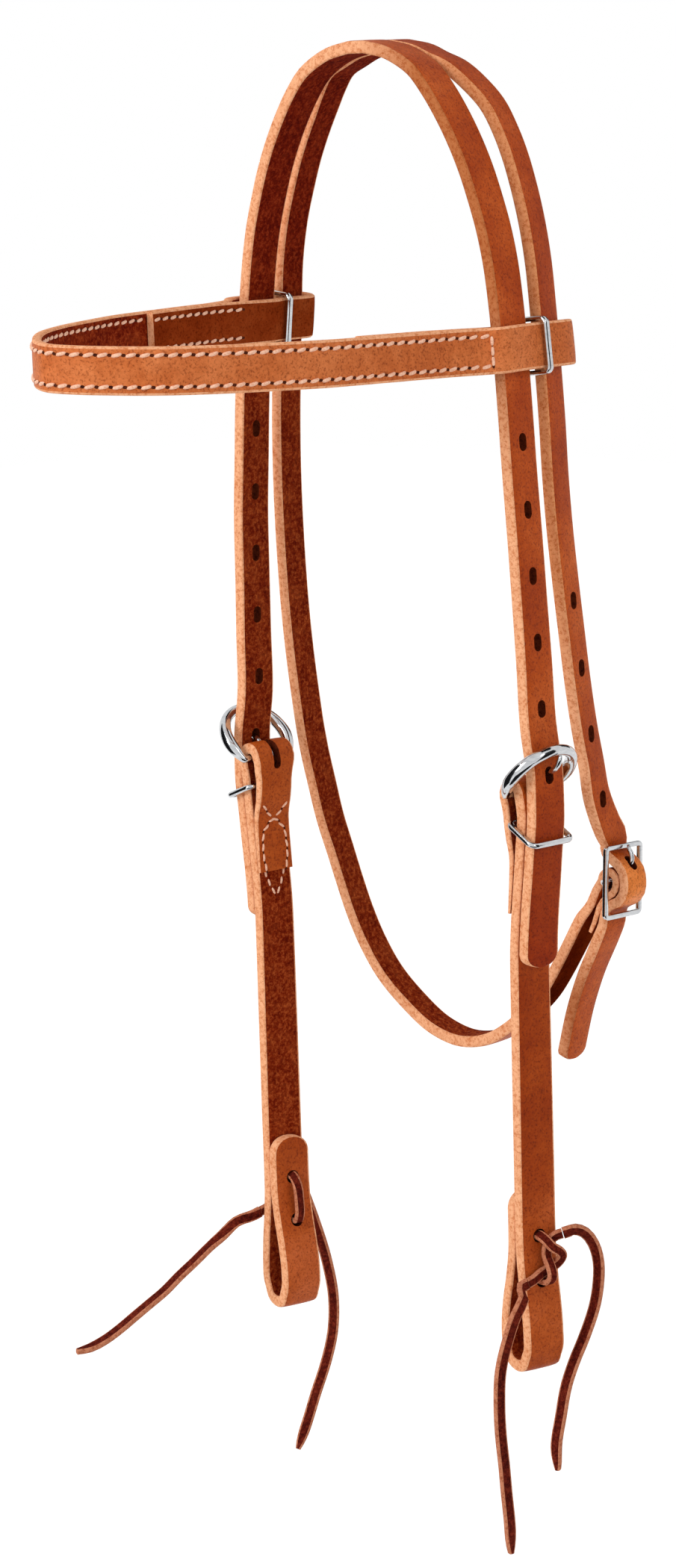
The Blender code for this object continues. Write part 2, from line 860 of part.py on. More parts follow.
def make_cheek_buckle(name, side):
    """A horseshoe frame: a straight heel bar, and an arch that leans outboard."""
    bar = place(side, buckle_spread, 0, bar_height)
    out, rear = outboard_way(side, bar_height), rear_way(bar_height)
    rise = (out * arch_stand + up * arch_rise).normalized()
    length = math.hypot(arch_stand, arch_rise)
    shoulder = length - arch_half_width
    half = []
    for share in arch_leg_shares:
        bow = heel_half_width + (arch_half_width - heel_half_width) * math.sin(share * math.pi / 2)
        half.append((bow, shoulder * share))
    for i in range(1, arch_steps + 1):
        angle = math.pi / 2 * i / arch_steps
        half.append((arch_half_width * math.cos(angle), shoulder + arch_half_width * math.sin(angle)))
    outline = half + [(-wide, high) for wide, high in reversed(half[:-1])]
    data = bpy.data.curves.new(name, "CURVE")
    data.dimensions = "3D"
    data.twist_mode = "MINIMUM"
    section = bpy.data.curves.new(name + "_section", "CURVE")
    section.dimensions = "2D"
    ring = section.splines.new("POLY")
    ring.points.add(9)
    for i, point in enumerate(ring.points):
        angle = 2 * math.pi * i / 10
        point.co = (arch_flat / 2 * math.cos(angle), arch_section / 2 * math.sin(angle), 0, 1)
    ring.use_cyclic_u = True
    guide = bpy.data.objects.new(name + "_section", section)
    cutters.objects.link(guide)
    guide.hide_render = True
    guide.display_type = "WIRE"
    data.bevel_mode = "OBJECT"
    data.bevel_object = guide
    path = data.splines.new("POLY")
    path.points.add(len(outline) - 1)
    for point, (wide, high) in zip(path.points, outline):
        point.co = (*(bar + rear * wide + rise * high), 1)
        point.radius = 1 + (arch_swell - 1) * min(1.0, high / shoulder)
    path.use_cyclic_u = True
    made = as_mesh(link(name, data, steel), name)
    set_origin(made, bar)
    return made


def make_cheek_tongue(name, side):
    """A wire tongue: an eye round the heel bar, then out over the arch."""
    bar = place(side, buckle_spread, 0, bar_height)
    out = outboard_way(side, bar_height)
    eye = arc(bar, tongue_eye, math.radians(365), math.radians(100), 12, out, up)
    route_shares = (
        (0.80, 1.17),
        (2.00, 2.03),
        (3.27, 2.70),
        (4.40, 3.10),
        (5.40, 3.72),
        (6.00, 4.55),
        (6.30, 5.12),
    )
    shank = [bar + (out * a + up * b) * tongue_eye for a, b in route_shares]
    line = eye + smooth_line([eye[-1]] + shank, 1.2 * tongue_wire)[1:]
    radii = [1.0] * len(line)
    radii[-1] = 0.6
    made = wire(name, line, tongue_wire / 2, steel, radii=radii)
    set_origin(made, bar)
    return made


def rounded_rectangle(half_wide, half_high, corner, steps):
    points = []
    for k, (x, y) in enumerate(((1, 1), (-1, 1), (-1, -1), (1, -1))):
        centre = (x * (half_wide - corner), y * (half_high - corner))
        for i in range(steps + 1):
            angle = math.pi / 2 * (k + i / steps)
            points.append((centre[0] + corner * math.cos(angle), centre[1] + corner * math.sin(angle)))
    return points


def make_keeper(name, side, droop):
    """A wire keeper: its inner bar lies inside the fold, and its outer bar hangs lower."""
    height = bar_height - keeper_depth
    inner = place(side, buckle_spread - keeper_wire / 5, 0, height)
    out, rear = outboard_way(side, height), rear_way(height)
    way = out * math.cos(droop) - up * math.sin(droop)
    half_wide = cheek_width / 2 + keeper_side_gap + keeper_wire / 2
    centre = inner + way * keeper_reach / 2
    outline = rounded_rectangle(keeper_reach / 2, half_wide, keeper_corner, 4)
    line = [centre + way * x + rear * y for x, y in outline]
    made = wire(name, line, keeper_wire / 2, steel, cyclic=True)
    set_origin(made, inner)
    return made


def make_cheek_stitching(name, side):
    """Thread in the outline of a fish, on the inner face of the return."""
    outline_shares = (
        (-0.75, 0.40),
        (-0.45, 0.47),
        (-0.12, 0.53),
        (-0.40, 0.60),
        (-0.68, 0.70),
        (-0.72, 0.84),
        (-0.60, 0.98),
        (-0.42, 1.08),
        (-0.20, 1.17),
        (0.0, 1.22),
    )
    half = list(outline_shares)
    outline = half + [(-wide, low) for wide, low in reversed(half[:-1])]
    line = []
    for wide, low in outline:
        height = bar_height - low * return_length
        face = strap_line(height) - half_strap
        if low <= 1.0:
            thin = at_share(return_shares, low, 1)
            opening = at_share(return_shares, low, 2)
            gap = clearance + opening * (2 * fold_radius + keeper_wire / 6 - clearance)
            face -= gap + thin * strap_thickness
        spread = face - clearance * 1.5 - thread_wire / 2
        line.append(place(side, spread, wide * cheek_width / 2, height))
    return wire(name, line, thread_wire / 2, thread, resolution=1)


# The lace through the tie: how far it stands off the face of the layer it passes, and how far
# along the strap's width it lies, both as shares of its own wire, then its height as a share
# of the holes' pitch above the upper hole. The first and last rows leave for the free tails.
tie_outer_start_shares = (
    (0.13, -2.60, -0.95),
    (0.15, -1.70, -0.90),
    (0.15, -0.60, -0.80),
    (0.15, 0.60, -0.73),
    (0.45, 1.75, -0.62),
    (1.15, 2.05, -0.45),
    (1.75, 1.30, -0.28),
    (1.75, 0.35, -0.16),
    (1.05, -0.10, -0.03),
    (-0.20, -0.08, 0.01),
    (-1.50, 0.0, 0.0),
)
tie_inner_shares = (
    (0.0, 0.0, -0.02),
    (0.55, 0.0, -0.15),
    (0.75, 0.0, -0.50),
    (0.35, 0.0, -0.85),
    (-0.25, 0.0, -1.0),
    (-1.60, 0.0, -1.0),
)
tie_outer_end_shares = (
    (-1.50, 0.0, -1.0),
    (-0.10, 0.02, -1.0),
    (0.95, 0.06, -0.96),
    (1.70, 0.12, -0.80),
    (1.30, 0.20, -0.62),
    (0.40, 0.35, -0.44),
    (0.12, 0.60, -0.26),
    (0.15, 1.15, -0.10),
    (0.40, 1.80, -0.01),
    (0.75, 2.50, 0.03),
)


def tie_points(side):
    """Centres of the lace that is tied through the two holes of the lap."""
    stand = half_strap + clearance + lace_wire / 2
    lap_bulge = bit_gape - lap_spacing - bit_bulge
    points = []
    for rows, outward in ((tie_outer_start_shares, 1), (tie_inner_shares, -1), (tie_outer_end_shares, 1)):
        for off, along, lift in rows:
            height = upper_hole_height + lift * lace_hole_pitch
            if outward > 0:
                face = strap_end + loop_bulge(height, bit_bulge) + stand
            else:
                face = lap_middle - loop_bulge(height, lap_bulge) - stand
            points.append(place(side, face + outward * off * lace_wire, along * lace_wire, height))
    return points


def make_lace_tie(name, side):
    """A latigo lace through the two holes of the lap, crossed over itself outboard."""
    line = smooth_line(tie_points(side), 0.9 * lace_wire)
    return wire(name, line, lace_wire / 2, latigo)


for label, side in sides.items():
    make_cheek_strap(f"cheek_strap_{label}", side)
    make_cheek_buckle(f"cheek_buckle_{label}", side)
    make_cheek_tongue(f"cheek_tongue_{label}", side)
    make_cheek_stitching(f"cheek_stitching_{label}", side)
    make_lace_tie(f"lace_tie_{label}", side)
make_keeper("cheek_keeper_near", sides["near"], near_keeper_droop)
make_keeper("cheek_keeper_far", sides["far"], far_keeper_droop)

# Free lace tails, each from beyond its end of the tie to its tip
lace_routes = {
    "lace_tail_near_rear": (
        (0.0790, 0.0040, -0.4562),
        (0.0797, 0.0095, -0.4588),
        (0.0802, 0.0142, -0.4645),
        (0.0804, 0.0170, -0.4730),
        (0.0800, 0.0172, -0.4810),
        (0.0795, 0.0158, -0.4890),
        (0.0785, 0.0095, -0.5022),
        (0.0780, 0.0034, -0.5110),
        (0.0775, -0.0008, -0.5190),
        (0.0765, -0.0038, -0.5320),
        (0.0760, -0.0065, -0.5445),
        (0.0760, -0.0057, -0.5539),
    ),
    "lace_tail_near_front": (
        (0.0762, -0.0245, -0.4775),
        (0.0763, -0.0295, -0.4830),
        (0.0763, -0.0350, -0.4920),
        (0.0760, -0.0390, -0.5025),
        (0.0760, -0.0404, -0.5160),
        (0.0760, -0.0400, -0.5290),
        (0.0760, -0.0386, -0.5410),
        (0.0760, -0.0374, -0.5540),
        (0.0760, -0.0360, -0.5670),
        (0.0760, -0.0357, -0.5791),
    ),
    "lace_tail_far_rear": (
        (-0.0775, 0.0045, -0.4575),
        (-0.0785, 0.0095, -0.4625),
        (-0.0785, 0.0145, -0.4715),
        (-0.0780, 0.0178, -0.4800),
        (-0.0775, 0.0211, -0.4893),
        (-0.0770, 0.0268, -0.5075),
        (-0.0770, 0.0300, -0.5253),
        (-0.0770, 0.0286, -0.5400),
        (-0.0770, 0.0237, -0.5522),
        (-0.0770, 0.0170, -0.5637),
        (-0.0770, 0.0107, -0.5754),
        (-0.0770, 0.0045, -0.5855),
    ),
    "lace_tail_far_front": (
        (-0.0795, -0.0250, -0.4765),
        (-0.0812, -0.0315, -0.4808),
        (-0.0828, -0.0382, -0.4847),
        (-0.0845, -0.0455, -0.4895),
        (-0.0862, -0.0529, -0.4940),
        (-0.0879, -0.0602, -0.4990),
        (-0.0896, -0.0674, -0.5028),
        (-0.0913, -0.0746, -0.5066),
        (-0.0930, -0.0817, -0.5104),
        (-0.0947, -0.0888, -0.5135),
        (-0.0964, -0.0957, -0.5153),
        (-0.0981, -0.1012, -0.5156),
    ),
}
for name, route in lace_routes.items():
    tie = tie_points(sides["near" if "_near_" in name else "far"])
    last, before = (tie[-1], tie[-2]) if name.endswith("rear") else (tie[0], tie[1])
    start = last + (last - before).normalized() * clearance
    lead = last + (last - before).normalized() * lace_wire
    line = smooth_line([start, lead] + [Vector(spot) for spot in route], 2.2 * lace_wire)
    radii = [1.0] * len(line)
    radii[-1] = 0.5
    radii[-2] = 0.85
    wire(name, line, lace_wire / 2, latigo, radii=radii)


def make_throat_buckle():
    """A flat frame with a rounded outline, and a centre bar dropped inboard on two lugs."""
    data = bpy.data.curves.new("throat_buckle", "CURVE")
    data.dimensions = "2D"
    data.fill_mode = "BOTH"
    data.extrude = frame_thickness / 2 - frame_bevel
    data.bevel_depth = frame_bevel
    data.bevel_resolution = 1
    inset = frame_bevel
    for shrink, corner in ((inset, frame_corner), (frame_stock - inset, frame_corner - frame_stock / 2)):
        outline = rounded_rectangle(frame_width / 2 - shrink, frame_height / 2 - shrink, corner, 4)
        path = data.splines.new("POLY")
        path.points.add(len(outline) - 1)
        for point, (x, y) in zip(path.points, outline):
            point.co = (x, y, 0, 1)
        path.use_cyclic_u = True
    outboard = Vector((1, 0, 0))
    centre = throat_bar + outboard * bar_drop
    flat = bpy.data.objects.new("throat_buckle", data)
    parts.objects.link(flat)
    flat.matrix_world = frame_from(centre, lean_rear, lean_up)
    frame = as_mesh(flat, "throat_buckle")
    side_bar = frame_width / 2 - frame_stock / 2
    straight = side_bar - frame_stock / 2 - bar_wire * 0.1
    spots = (
        (-side_bar, bar_drop),
        (-side_bar + bar_drop * 0.2, bar_drop * 0.55),
        (-straight, 0),
        (straight, 0),
        (side_bar - bar_drop * 0.2, bar_drop * 0.55),
        (side_bar, bar_drop),
    )
    line = [throat_bar + lean_rear * a + outboard * b for a, b in spots]
    bar = as_mesh(wire("throat_bar", line, bar_wire / 2, steel), "throat_bar")
    parts.objects.unlink(bar)
    cutters.objects.link(bar)
    bar.hide_render = True
    bar.display_type = "WIRE"
    join = frame.modifiers.new("bar", "BOOLEAN")
    join.operation = "UNION"
    join.object = bar
    frame.data.materials.clear()
    frame.data.materials.append(steel)
    set_origin(frame, throat_bar)
    return frame


def make_throat_tongue():
    """The throat buckle's tongue: an eye round the bar, and a shank to the top bar."""
    outboard = Vector((1, 0, 0))
    eye = arc(throat_bar, throat_tongue_eye, math.radians(365), math.radians(100), 12, outboard, lean_up)
    route_shares = (
        (0.80, 1.20),
        (1.80, 2.10),
        (2.50, 2.95),
        (2.62, 3.60),
        (2.40, 4.40),
        (2.03, 5.05),
        (1.87, 5.60),
    )
    shank = [throat_bar + (outboard * a + lean_up * b) * throat_tongue_eye for a, b in route_shares]
    line = eye + smooth_line([eye[-1]] + shank, 1.2 * throat_tongue_wire)[1:]
    radii = [1.0] * len(line)
    radii[-1] = 0.6
    made = wire("throat_tongue", line, throat_tongue_wire / 2, steel, radii=radii)
    set_origin(made, throat_bar)
    return made


throat_buckle = make_throat_buckle()
throat_tongue = make_throat_tongue()


def crown_at(height):
    """The crown branch's spread and its outward slope at a height."""
    line = smooth_line(profile_points(), strap_spacing)
    for a, b in zip(line, line[1:]):
        if b.y <= height <= a.y:
            part = (a.y - height) / (a.y - b.y)
            return a.x + part * (b.x - a.x), (b.x - a.x) / (a.y - b.y)
    return line[-1].x, 0.0


def rear_at(height):
    """The rear branch's spread and how far back its middle lies at a height."""
    line = smooth_line(rear_line(1), strap_spacing)
    for a, b in zip(line, line[1:]):
        if b.z <= height <= a.z:
            part = (a.z - height) / (a.z - b.z)
            return a.x + part * (b.x - a.x), a.y + part * (b.y - a.y)
    return line[-1].x, line[-1].y


def band_height_at(x):
    return -band_depth - band_tilt * x


class BandSide:
    """One end of the browband: the branch it goes round and its own offsets."""

    def __init__(self, side):
        self.side = side
        self.height = band_height_at(side * billet_spread * 0.85)
        self.spread, self.slope = crown_at(self.height)
        self.offset = half_strap + band_clearance + band_thickness / 2
        self.front = place(side, self.spread, 0, self.height).y
        self.rear_spread, self.rear = rear_at(self.height)
        self.rear_edge = self.rear + throat_width / 2
        self.gap_middle = (self.front + branch_width / 2 + self.rear - throat_width / 2) / 2
        self.middle_spread = (self.spread + self.rear_spread) / 2

    def stations(self):
        """Spread and Y of the band's middle from the brow back round the branches to the lap."""
        outer = self.spread + self.offset
        inner = self.spread - self.offset
        points = []
        for wide, ahead in band_shares:
            points.append((wide * self.spread, self.front - ahead * band_reach, 1.0))
        edge = self.front - branch_width / 2
        points.append((outer - band_clearance * 0.4, edge - band_clearance, 1.0))
        points.append((outer, self.front - branch_width * 0.2, 1.0))
        points.append((outer, self.front + branch_width * 0.25, 1.0))
        points.append((self.middle_spread + self.offset - band_dip, self.gap_middle, 1.0))
        points.append((self.rear_spread + self.offset, self.rear - throat_width * 0.35, 1.0))
        turn = self.rear_edge - band_clearance * 1.2
        for i in range(9):
            angle = math.pi / 2 - math.pi * i / 8
            wide = self.rear_spread + self.offset * math.sin(angle)
            points.append((wide, turn + self.offset * math.cos(angle), 1.0))
        points.append((self.rear_spread - self.offset, self.rear - throat_width * 0.35, 1.0))
        points.append((self.middle_spread - self.offset + band_dip, self.gap_middle, 1.0))
        points.append((inner, self.front + branch_width * 0.25, 1.0))
        thin = band_lap_thickness / band_thickness
        points.append((inner, self.front - branch_width * 0.3, (1 + thin) / 2))
        step = (band_thickness + band_lap_thickness) / 2 + clearance
        mains = [(ahead, wide) for wide, ahead in reversed(band_shares)]
        for share in band_lap_shares[1:]:
            wide = at_share(mains, share)
            spread = min(wide * self.spread - step, inner - (share - band_lap_shares[0]) * band_clearance)
            points.append((spread, self.front - share * band_reach, thin))
        return points


def band_line():
    """Centres, up directions and thickness shares of the whole browband."""
    whole = []
    for label, side in (("far", -1), ("near", 1)):
        end = BandSide(side)
        stations = end.stations()
        points = [Vector((side * x, y, 0)) for x, y, _ in stations]
        thins = [thin for _, _, thin in stations]
        rows = []
        for i, point in enumerate(points):
            ahead = end.front - point.y
            lean = max(0.0, min(1.0, 1 - ahead / (branch_width * 2)))
            rise = Vector((-side * end.slope * lean, 0, 1)).normalized()
            level = band_height_at(side * end.spread) + end.slope * (abs(point.x) - end.spread)
            point.z = (1 - lean) * band_height_at(point.x) + lean * level
            rows.append((point, rise, thins[i]))
        whole.append(rows)
    far, near = whole
    return list(reversed(far)) + near[1:]


def spread_rows(rows, spacing):
    """The rows with more between them, on a smooth curve where they are far apart."""
    centres = [row[0] for row in rows]
    lengths = [(b - a).length for a, b in zip(centres, centres[1:])]
    fine = smooth_line(centres, spacing)
    out = []
    index = 0
    for i, length in enumerate(lengths):
        steps = max(1, round(length / spacing))
        for step in range(steps):
            t = step / steps
            rise = (rows[i][1] * (1 - t) + rows[i + 1][1] * t).normalized()
            out.append((fine[index], rise, rows[i][2] * (1 - t) + rows[i + 1][2] * t))
            index += 1
    out.append((fine[-1], rows[-1][1], rows[-1][2]))
    return out


band_rows = spread_rows(band_line(), band_spacing)
browband = ribbon(
    "browband",
    [row[0] for row in band_rows],
    [square_to(row[1], t) for row, t in zip(band_rows, tangents_of([row[0] for row in band_rows]))],
    band_height / 2,
    band_thickness,
    [row[2] for row in band_rows],
    russet,
)


def make_band_stitching():
    """The thread along both edges of the band's outer face, closed by a cross row at each end."""
    line = [row[0] for row in band_rows]
    ways = tangents_of(line)
    top, bottom = [], []
    limit = {side: BandSide(side).front - 0.8 * branch_width for side in (-1, 1)}
    for (point, rise, thin), way in zip(band_rows, ways):
        side = 1 if point.x > 0 else -1
        outward = way.cross(rise).normalized()
        outer_layer = thin > 0.99
        if point.y > limit[side] or not outer_layer:
            continue
        offset = outward * (band_thickness / 2 + clearance * 1.4 + thread_wire / 2)
        reach = band_height / 2 - stitch_inset
        top.append(point + offset + rise * reach)
        bottom.append(point + offset - rise * reach)
    return wire("browband_stitching", top + bottom[::-1], thread_wire / 2, thread, cyclic=True, resolution=0)


band_stitching = make_band_stitching()


def make_band_loop(name, side):
    """A flat wire loop round both layers of the band, in the gap between the branches."""
    end = BandSide(side)
    rise = Vector((-side * end.slope, 0, 1)).normalized()
    out = Vector((side, 0, end.slope)).normalized()
    centre = Vector((side * end.middle_spread, end.gap_middle, band_height_at(side * end.spread)))
    half_wide = end.offset - band_dip + band_thickness / 2 + 3 * clearance + band_wire / 2
    half_high = band_height / 2 + 2 * clearance + band_wire / 2
    data = bpy.data.curves.new(name, "CURVE")
    data.dimensions = "3D"
    data.twist_mode = "Z_UP"
    data.bevel_depth = band_wire / 2
    data.bevel_resolution = 1
    data.extrude = (band_wire_width - band_wire) / 2
    outline = rounded_rectangle(half_wide, half_high, band_loop_corner, 3)
    path = data.splines.new("POLY")
    path.points.add(len(outline) - 1)
    for point, (x, y) in zip(path.points, outline):
        point.co = (x, y, 0, 1)
    path.use_cyclic_u = True
    made = link(name, data, steel)
    made.matrix_world = frame_from(centre, out, rise)
    return made


for label, side in sides.items():
    make_band_loop(f"browband_loop_{label}", side)
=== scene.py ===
"""Western headstall in russet harness leather, hung as on a head, in a plain pale studio."""

import math

import bmesh
import bpy
from mathutils import Matrix, Vector


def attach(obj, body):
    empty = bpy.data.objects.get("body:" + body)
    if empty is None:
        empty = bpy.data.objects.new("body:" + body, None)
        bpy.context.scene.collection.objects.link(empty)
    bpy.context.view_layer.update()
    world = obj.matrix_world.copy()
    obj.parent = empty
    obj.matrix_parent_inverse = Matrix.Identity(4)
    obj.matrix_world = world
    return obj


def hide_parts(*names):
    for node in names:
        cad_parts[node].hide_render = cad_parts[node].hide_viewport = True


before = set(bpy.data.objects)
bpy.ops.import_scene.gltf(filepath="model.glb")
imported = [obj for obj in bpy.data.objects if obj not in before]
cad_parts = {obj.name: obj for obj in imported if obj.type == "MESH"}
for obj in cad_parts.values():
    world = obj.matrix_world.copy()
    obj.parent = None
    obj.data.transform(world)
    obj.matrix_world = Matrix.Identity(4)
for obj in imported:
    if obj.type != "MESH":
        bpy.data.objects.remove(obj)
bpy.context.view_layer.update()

# Crown strap, in front
# One length of russet harness leather, slit into 5/8 inch branches in front and 1/2 inch ones behind:
# two billets, the throat billet on the near side and the throatlatch on the far side. The grain
# side is dyed and oiled, the cut edges stay pale and the flesh side is left rough.
branch_width = 0.0161
throat_width = 0.0130
leather_thickness = 0.0050
edge_radius = 0.0009
slit = 0.0008
ply_gap = 0.0004
close_gap = 0.0003
heel_spread = 0.0688
heel_depth = 0.2798
fold_radius = 0.0019
billet_tail = 0.0680
branch_back = (branch_width + slit) / 2
throat_back = (throat_width + slit) / 2
half_leather = leather_thickness / 2
fold_middle = fold_radius + half_leather
billet_spread = heel_spread + fold_middle + leather_thickness + ply_gap
turn_at_depths = ((0.50, 0.0), (0.75, 0.10), (1.0, 0.45), (1.22, 0.70), (1.55, 1.0))
full_turn = math.radians(17)
settle_at_shares = ((0, 0), (0.16, 0), (0.32, 0.23), (0.51, 0.48), (0.71, 0.77), (0.90, 0.96), (1.2, 1))
settle = 0.0048
drift_at_depths = (
    (0.05, 0.0), (0.18, 0.05), (0.30, 0.08), (0.46, 0.03), (0.62, 0.02),
    (0.78, 0.09), (0.90, 0.135), (1.05, 0.12), (1.40, 0.10), (1.60, 0.09),
)
hole_width = 0.0042
hole_length = 0.0068
hole_pitch = 0.0254
front_hole_count = 6
first_hole_lift = 0.0075
hole_step = 0.0005
tongue_slot_width = 0.0036
straight_up = Vector((0, 0, 1))
outboard = Vector((1, 0, 0))


def read_share(table, share, column=1):
    """A column of a table of shares, read between its rows."""
    if share <= table[0][0]:
        return table[0][column]
    for low, high in zip(table, table[1:]):
        if share <= high[0]:
            part = (share - low[0]) / (high[0] - low[0])
            return low[column] + part * (high[column] - low[column])
    return table[-1][column]


def cheek_turn(height):
    return full_turn * read_share(turn_at_depths, -height / heel_depth)


def rearward(height):
    turn = cheek_turn(height)
    return Vector((math.sin(turn), math.cos(turn), 0))


def outward(side, height):
    turn = cheek_turn(height)
    return Vector((side * math.cos(turn), -side * math.sin(turn), 0))


def strap_spread(height):
    share = (-height - heel_depth) / billet_tail
    return heel_spread + fold_middle - settle * read_share(settle_at_shares, share)


def on_cheek(side, spread, along, height):
    """A point of a cheek: its spread from the centre plane, its place along the width and its height."""
    middle = strap_spread(height)
    drift = branch_width * read_share(drift_at_depths, -height / heel_depth)
    base = Vector((side * middle, drift - branch_back, height))
    return base + outward(side, height) * (spread - middle) + rearward(height) * along


def drawn_line(points, spacing):
    """Points about a spacing apart on one smooth curve through the given ones."""
    lengths = [(b - a).length for a, b in zip(points, points[1:])]
    slopes = [(b - a) / d for a, b, d in zip(points, points[1:], lengths)]
    ways = [slopes[0]]
    for before, after, back, ahead in zip(slopes, slopes[1:], lengths, lengths[1:]):
        ways.append((before * ahead + after * back) / (back + ahead))
    ways.append(slopes[-1])
    line = []
    for i, length in enumerate(lengths):
        steps = max(1, round(length / spacing))
        for step in range(steps):
            t = step / steps
            line.append(
                points[i] * (1 + 2 * t) * (1 - t) ** 2
                + ways[i] * length * t * (1 - t) ** 2
                + points[i + 1] * t * t * (3 - 2 * t)
                - ways[i + 1] * length * t * t * (1 - t)
            )
    line.append(points[-1].copy())
    return line


def way_along(line):
    ahead = line[1:] + [2 * line[-1] - line[-2]]
    behind = [2 * line[0] - line[1]] + line[:-1]
    return [(b - a).normalized() for a, b in zip(behind, ahead)]


def run_lengths(line):
    total = [0.0]
    for a, b in zip(line, line[1:]):
        total.append(total[-1] + (b - a).length)
    return total


def leather_section(width, thickness):
    """A cut strap's section: offsets across and out, and whether grain, edge or flesh follows each."""
    half = width / 2
    high = thickness / 2
    edge = min(edge_radius, 0.28 * thickness, 0.3 * half)
    dome = 0.05 * thickness
    belly = 0.02 * thickness

    def corner(x, y, angles):
        middle = y * (high - edge) - (dome if y > 0 else 0)
        turns = [math.radians(degrees) for degrees in angles]
        return [(x * (half - edge) + edge * math.cos(a), middle + edge * math.sin(a), 1) for a in turns]

    points = [(share * (half - edge), high - dome * share**4, 0) for share in [-1 + k / 4 for k in range(9)]]
    points += corner(1, 1, (62, 30, 0)) + [(half + belly, 0, 1)] + corner(1, -1, (0, -30, -60))
    points += [(share * (half - edge), -high, 2) for share in (1, 0.5, 0, -0.5, -1)]
    points += corner(-1, -1, (-120, -150, -180)) + [(-half - belly, 0, 1)] + corner(-1, 1, (180, 150, 118))
    return points


def skin_rings(build, rings, finish_at=lambda k: 0, closed=False):
    """Smooth faces from each ring of points to the next, and from the last to the first if closed."""
    size = len(rings[0])
    for ring, after in zip(rings, rings[1:] + (rings[:1] if closed else [])):
        for k in range(size):
            n = (k + 1) % size
            face = build.faces.new((ring[k], ring[n], after[n], after[k]))
            face.smooth = True
            face.material_index = finish_at(k)


def make_piece(name, build, finishes):
    """The built faces as a piece of the scene, with its finishes."""
    mesh = bpy.data.meshes.new(name)
    build.to_mesh(mesh)
    build.free()
    for finish in finishes:
        mesh.materials.append(finish)
    made = bpy.data.objects.new(name, mesh)
    bpy.context.scene.collection.objects.link(made)
    return made


def lay_strap(name, line, acrosses, widths, thicknesses, finishes, cutters=()):
    """A strap along its middle line, with the grain side on the left of across seen from ahead."""
    build = bmesh.new()
    rings = []
    for point, across, way, width, thickness in zip(line, acrosses, way_along(line), widths, thicknesses):
        across = (across - way * across.dot(way)).normalized()
        out = way.cross(across).normalized()
        section = leather_section(width, thickness)
        rings.append([build.verts.new(point + across * c + out * n) for c, n, _ in section])
    kinds = [finish for _, _, finish in leather_section(branch_width, leather_thickness)]
    skin_rings(build, rings, lambda k: kinds[k] if kinds[k] == kinds[(k + 1) % len(kinds)] else 1)
    for ring in (rings[0][::-1], rings[-1]):
        build.faces.new(ring).material_index = 1
    bmesh.ops.recalc_face_normals(build, faces=build.faces)
    made = make_piece(name, build, finishes)
    return punch(made, cutters) if cutters else soften(made)


def soften(made):
    """Marks the crisp edges, so that the rest shades smooth."""
    edit = bmesh.new()
    edit.from_mesh(made.data)
    for edge in edit.edges:
        if len(edge.link_faces) == 2:
            edge.smooth = edge.calc_face_angle(0) < math.radians(38)
    for face in edit.faces:
        face.smooth = True
    edit.to_mesh(made.data)
    edit.free()
    return made


def punch(made, cutters):
    """Takes the punched holes out of a strap, one after another, and keeps the result as its mesh."""
    for shape in cutters:
        bmesh.ops.recalc_face_normals(shape, faces=shape.faces)
        tool = make_piece("punch", shape, (painted_shade_hole_wall,))
        cut = made.modifiers.new("hole", "BOOLEAN")
        cut.operation = "DIFFERENCE"
        cut.object = tool
        cut.material_mode = "TRANSFER"
        bpy.context.view_layer.update()
        graph = bpy.context.evaluated_depsgraph_get()
        cut_mesh = bpy.data.meshes.new_from_object(made.evaluated_get(graph), depsgraph=graph)
        made.modifiers.clear()
        made.data = cut_mesh
        bpy.data.objects.remove(tool, do_unlink=True)
    return soften(made)


def slot_punch(width, length, depth, spot, across, along):
    """A round-ended punch through a strap at a spot, its length along the strap."""
    shape = bmesh.new()
    radius = width / 2
    bmesh.ops.create_cone(shape, cap_ends=True, segments=24, radius1=radius, radius2=radius, depth=depth)
    stretch = (length - width) / 2
    for vertex in shape.verts:
        if abs(vertex.co.y) > width / 20:
            vertex.co.y += math.copysign(stretch, vertex.co.y)
    across = across.normalized()
    through = across.cross(along).normalized()
    along = through.cross(across)
    turn = Matrix((across, along, through)).transposed().to_4x4()
    bmesh.ops.transform(shape, matrix=Matrix.Translation(spot) @ turn, verts=shape.verts)
    return shape


def punched_row(line, first, count, pitch, across_at):
    """Punches up a strap's line, a pitch apart, from the point at the first height."""
    start = min(range(len(line)), key=lambda i: abs(line[i].z - first))
    punches = []
    travelled = 0
    for i in range(start, 1, -1):
        if travelled >= len(punches) * pitch and len(punches) < count:
            along = (line[i - 1] - line[i + 1]).normalized()
            across = across_at(line[i].z)
            punches.append(slot_punch(hole_width, hole_length, 2 * leather_thickness, line[i], across, along))
        travelled += (line[i] - line[i - 1]).length
    return punches


def finish_nodes(name, roughness=0.5, shine=0.5):
    """A new material, with its node tree and its shader."""
    made = bpy.data.materials.new(name)
    made.use_nodes = True
    shader = made.node_tree.nodes["Principled BSDF"]
    shader.inputs["Roughness"].default_value = roughness
    shader.inputs["Specular IOR Level"].default_value = shine
    return made, made.node_tree, shader


def feed(tree, socket, value):
    """Feeds a socket from another node's socket, or with a number or a colour."""
    if isinstance(value, bpy.types.NodeSocket):
        tree.links.new(value, socket)
    elif socket.type == "RGBA":
        socket.default_value = (*value, 1)
    else:
        socket.default_value = value


def add_node(tree, kind, feeds=None, **settings):
    node = tree.nodes.new("ShaderNode" + kind)
    for name, value in settings.items():
        setattr(node, name, value)
    for name, value in (feeds or {}).items():
        feed(tree, node.inputs[name], value)
    return node


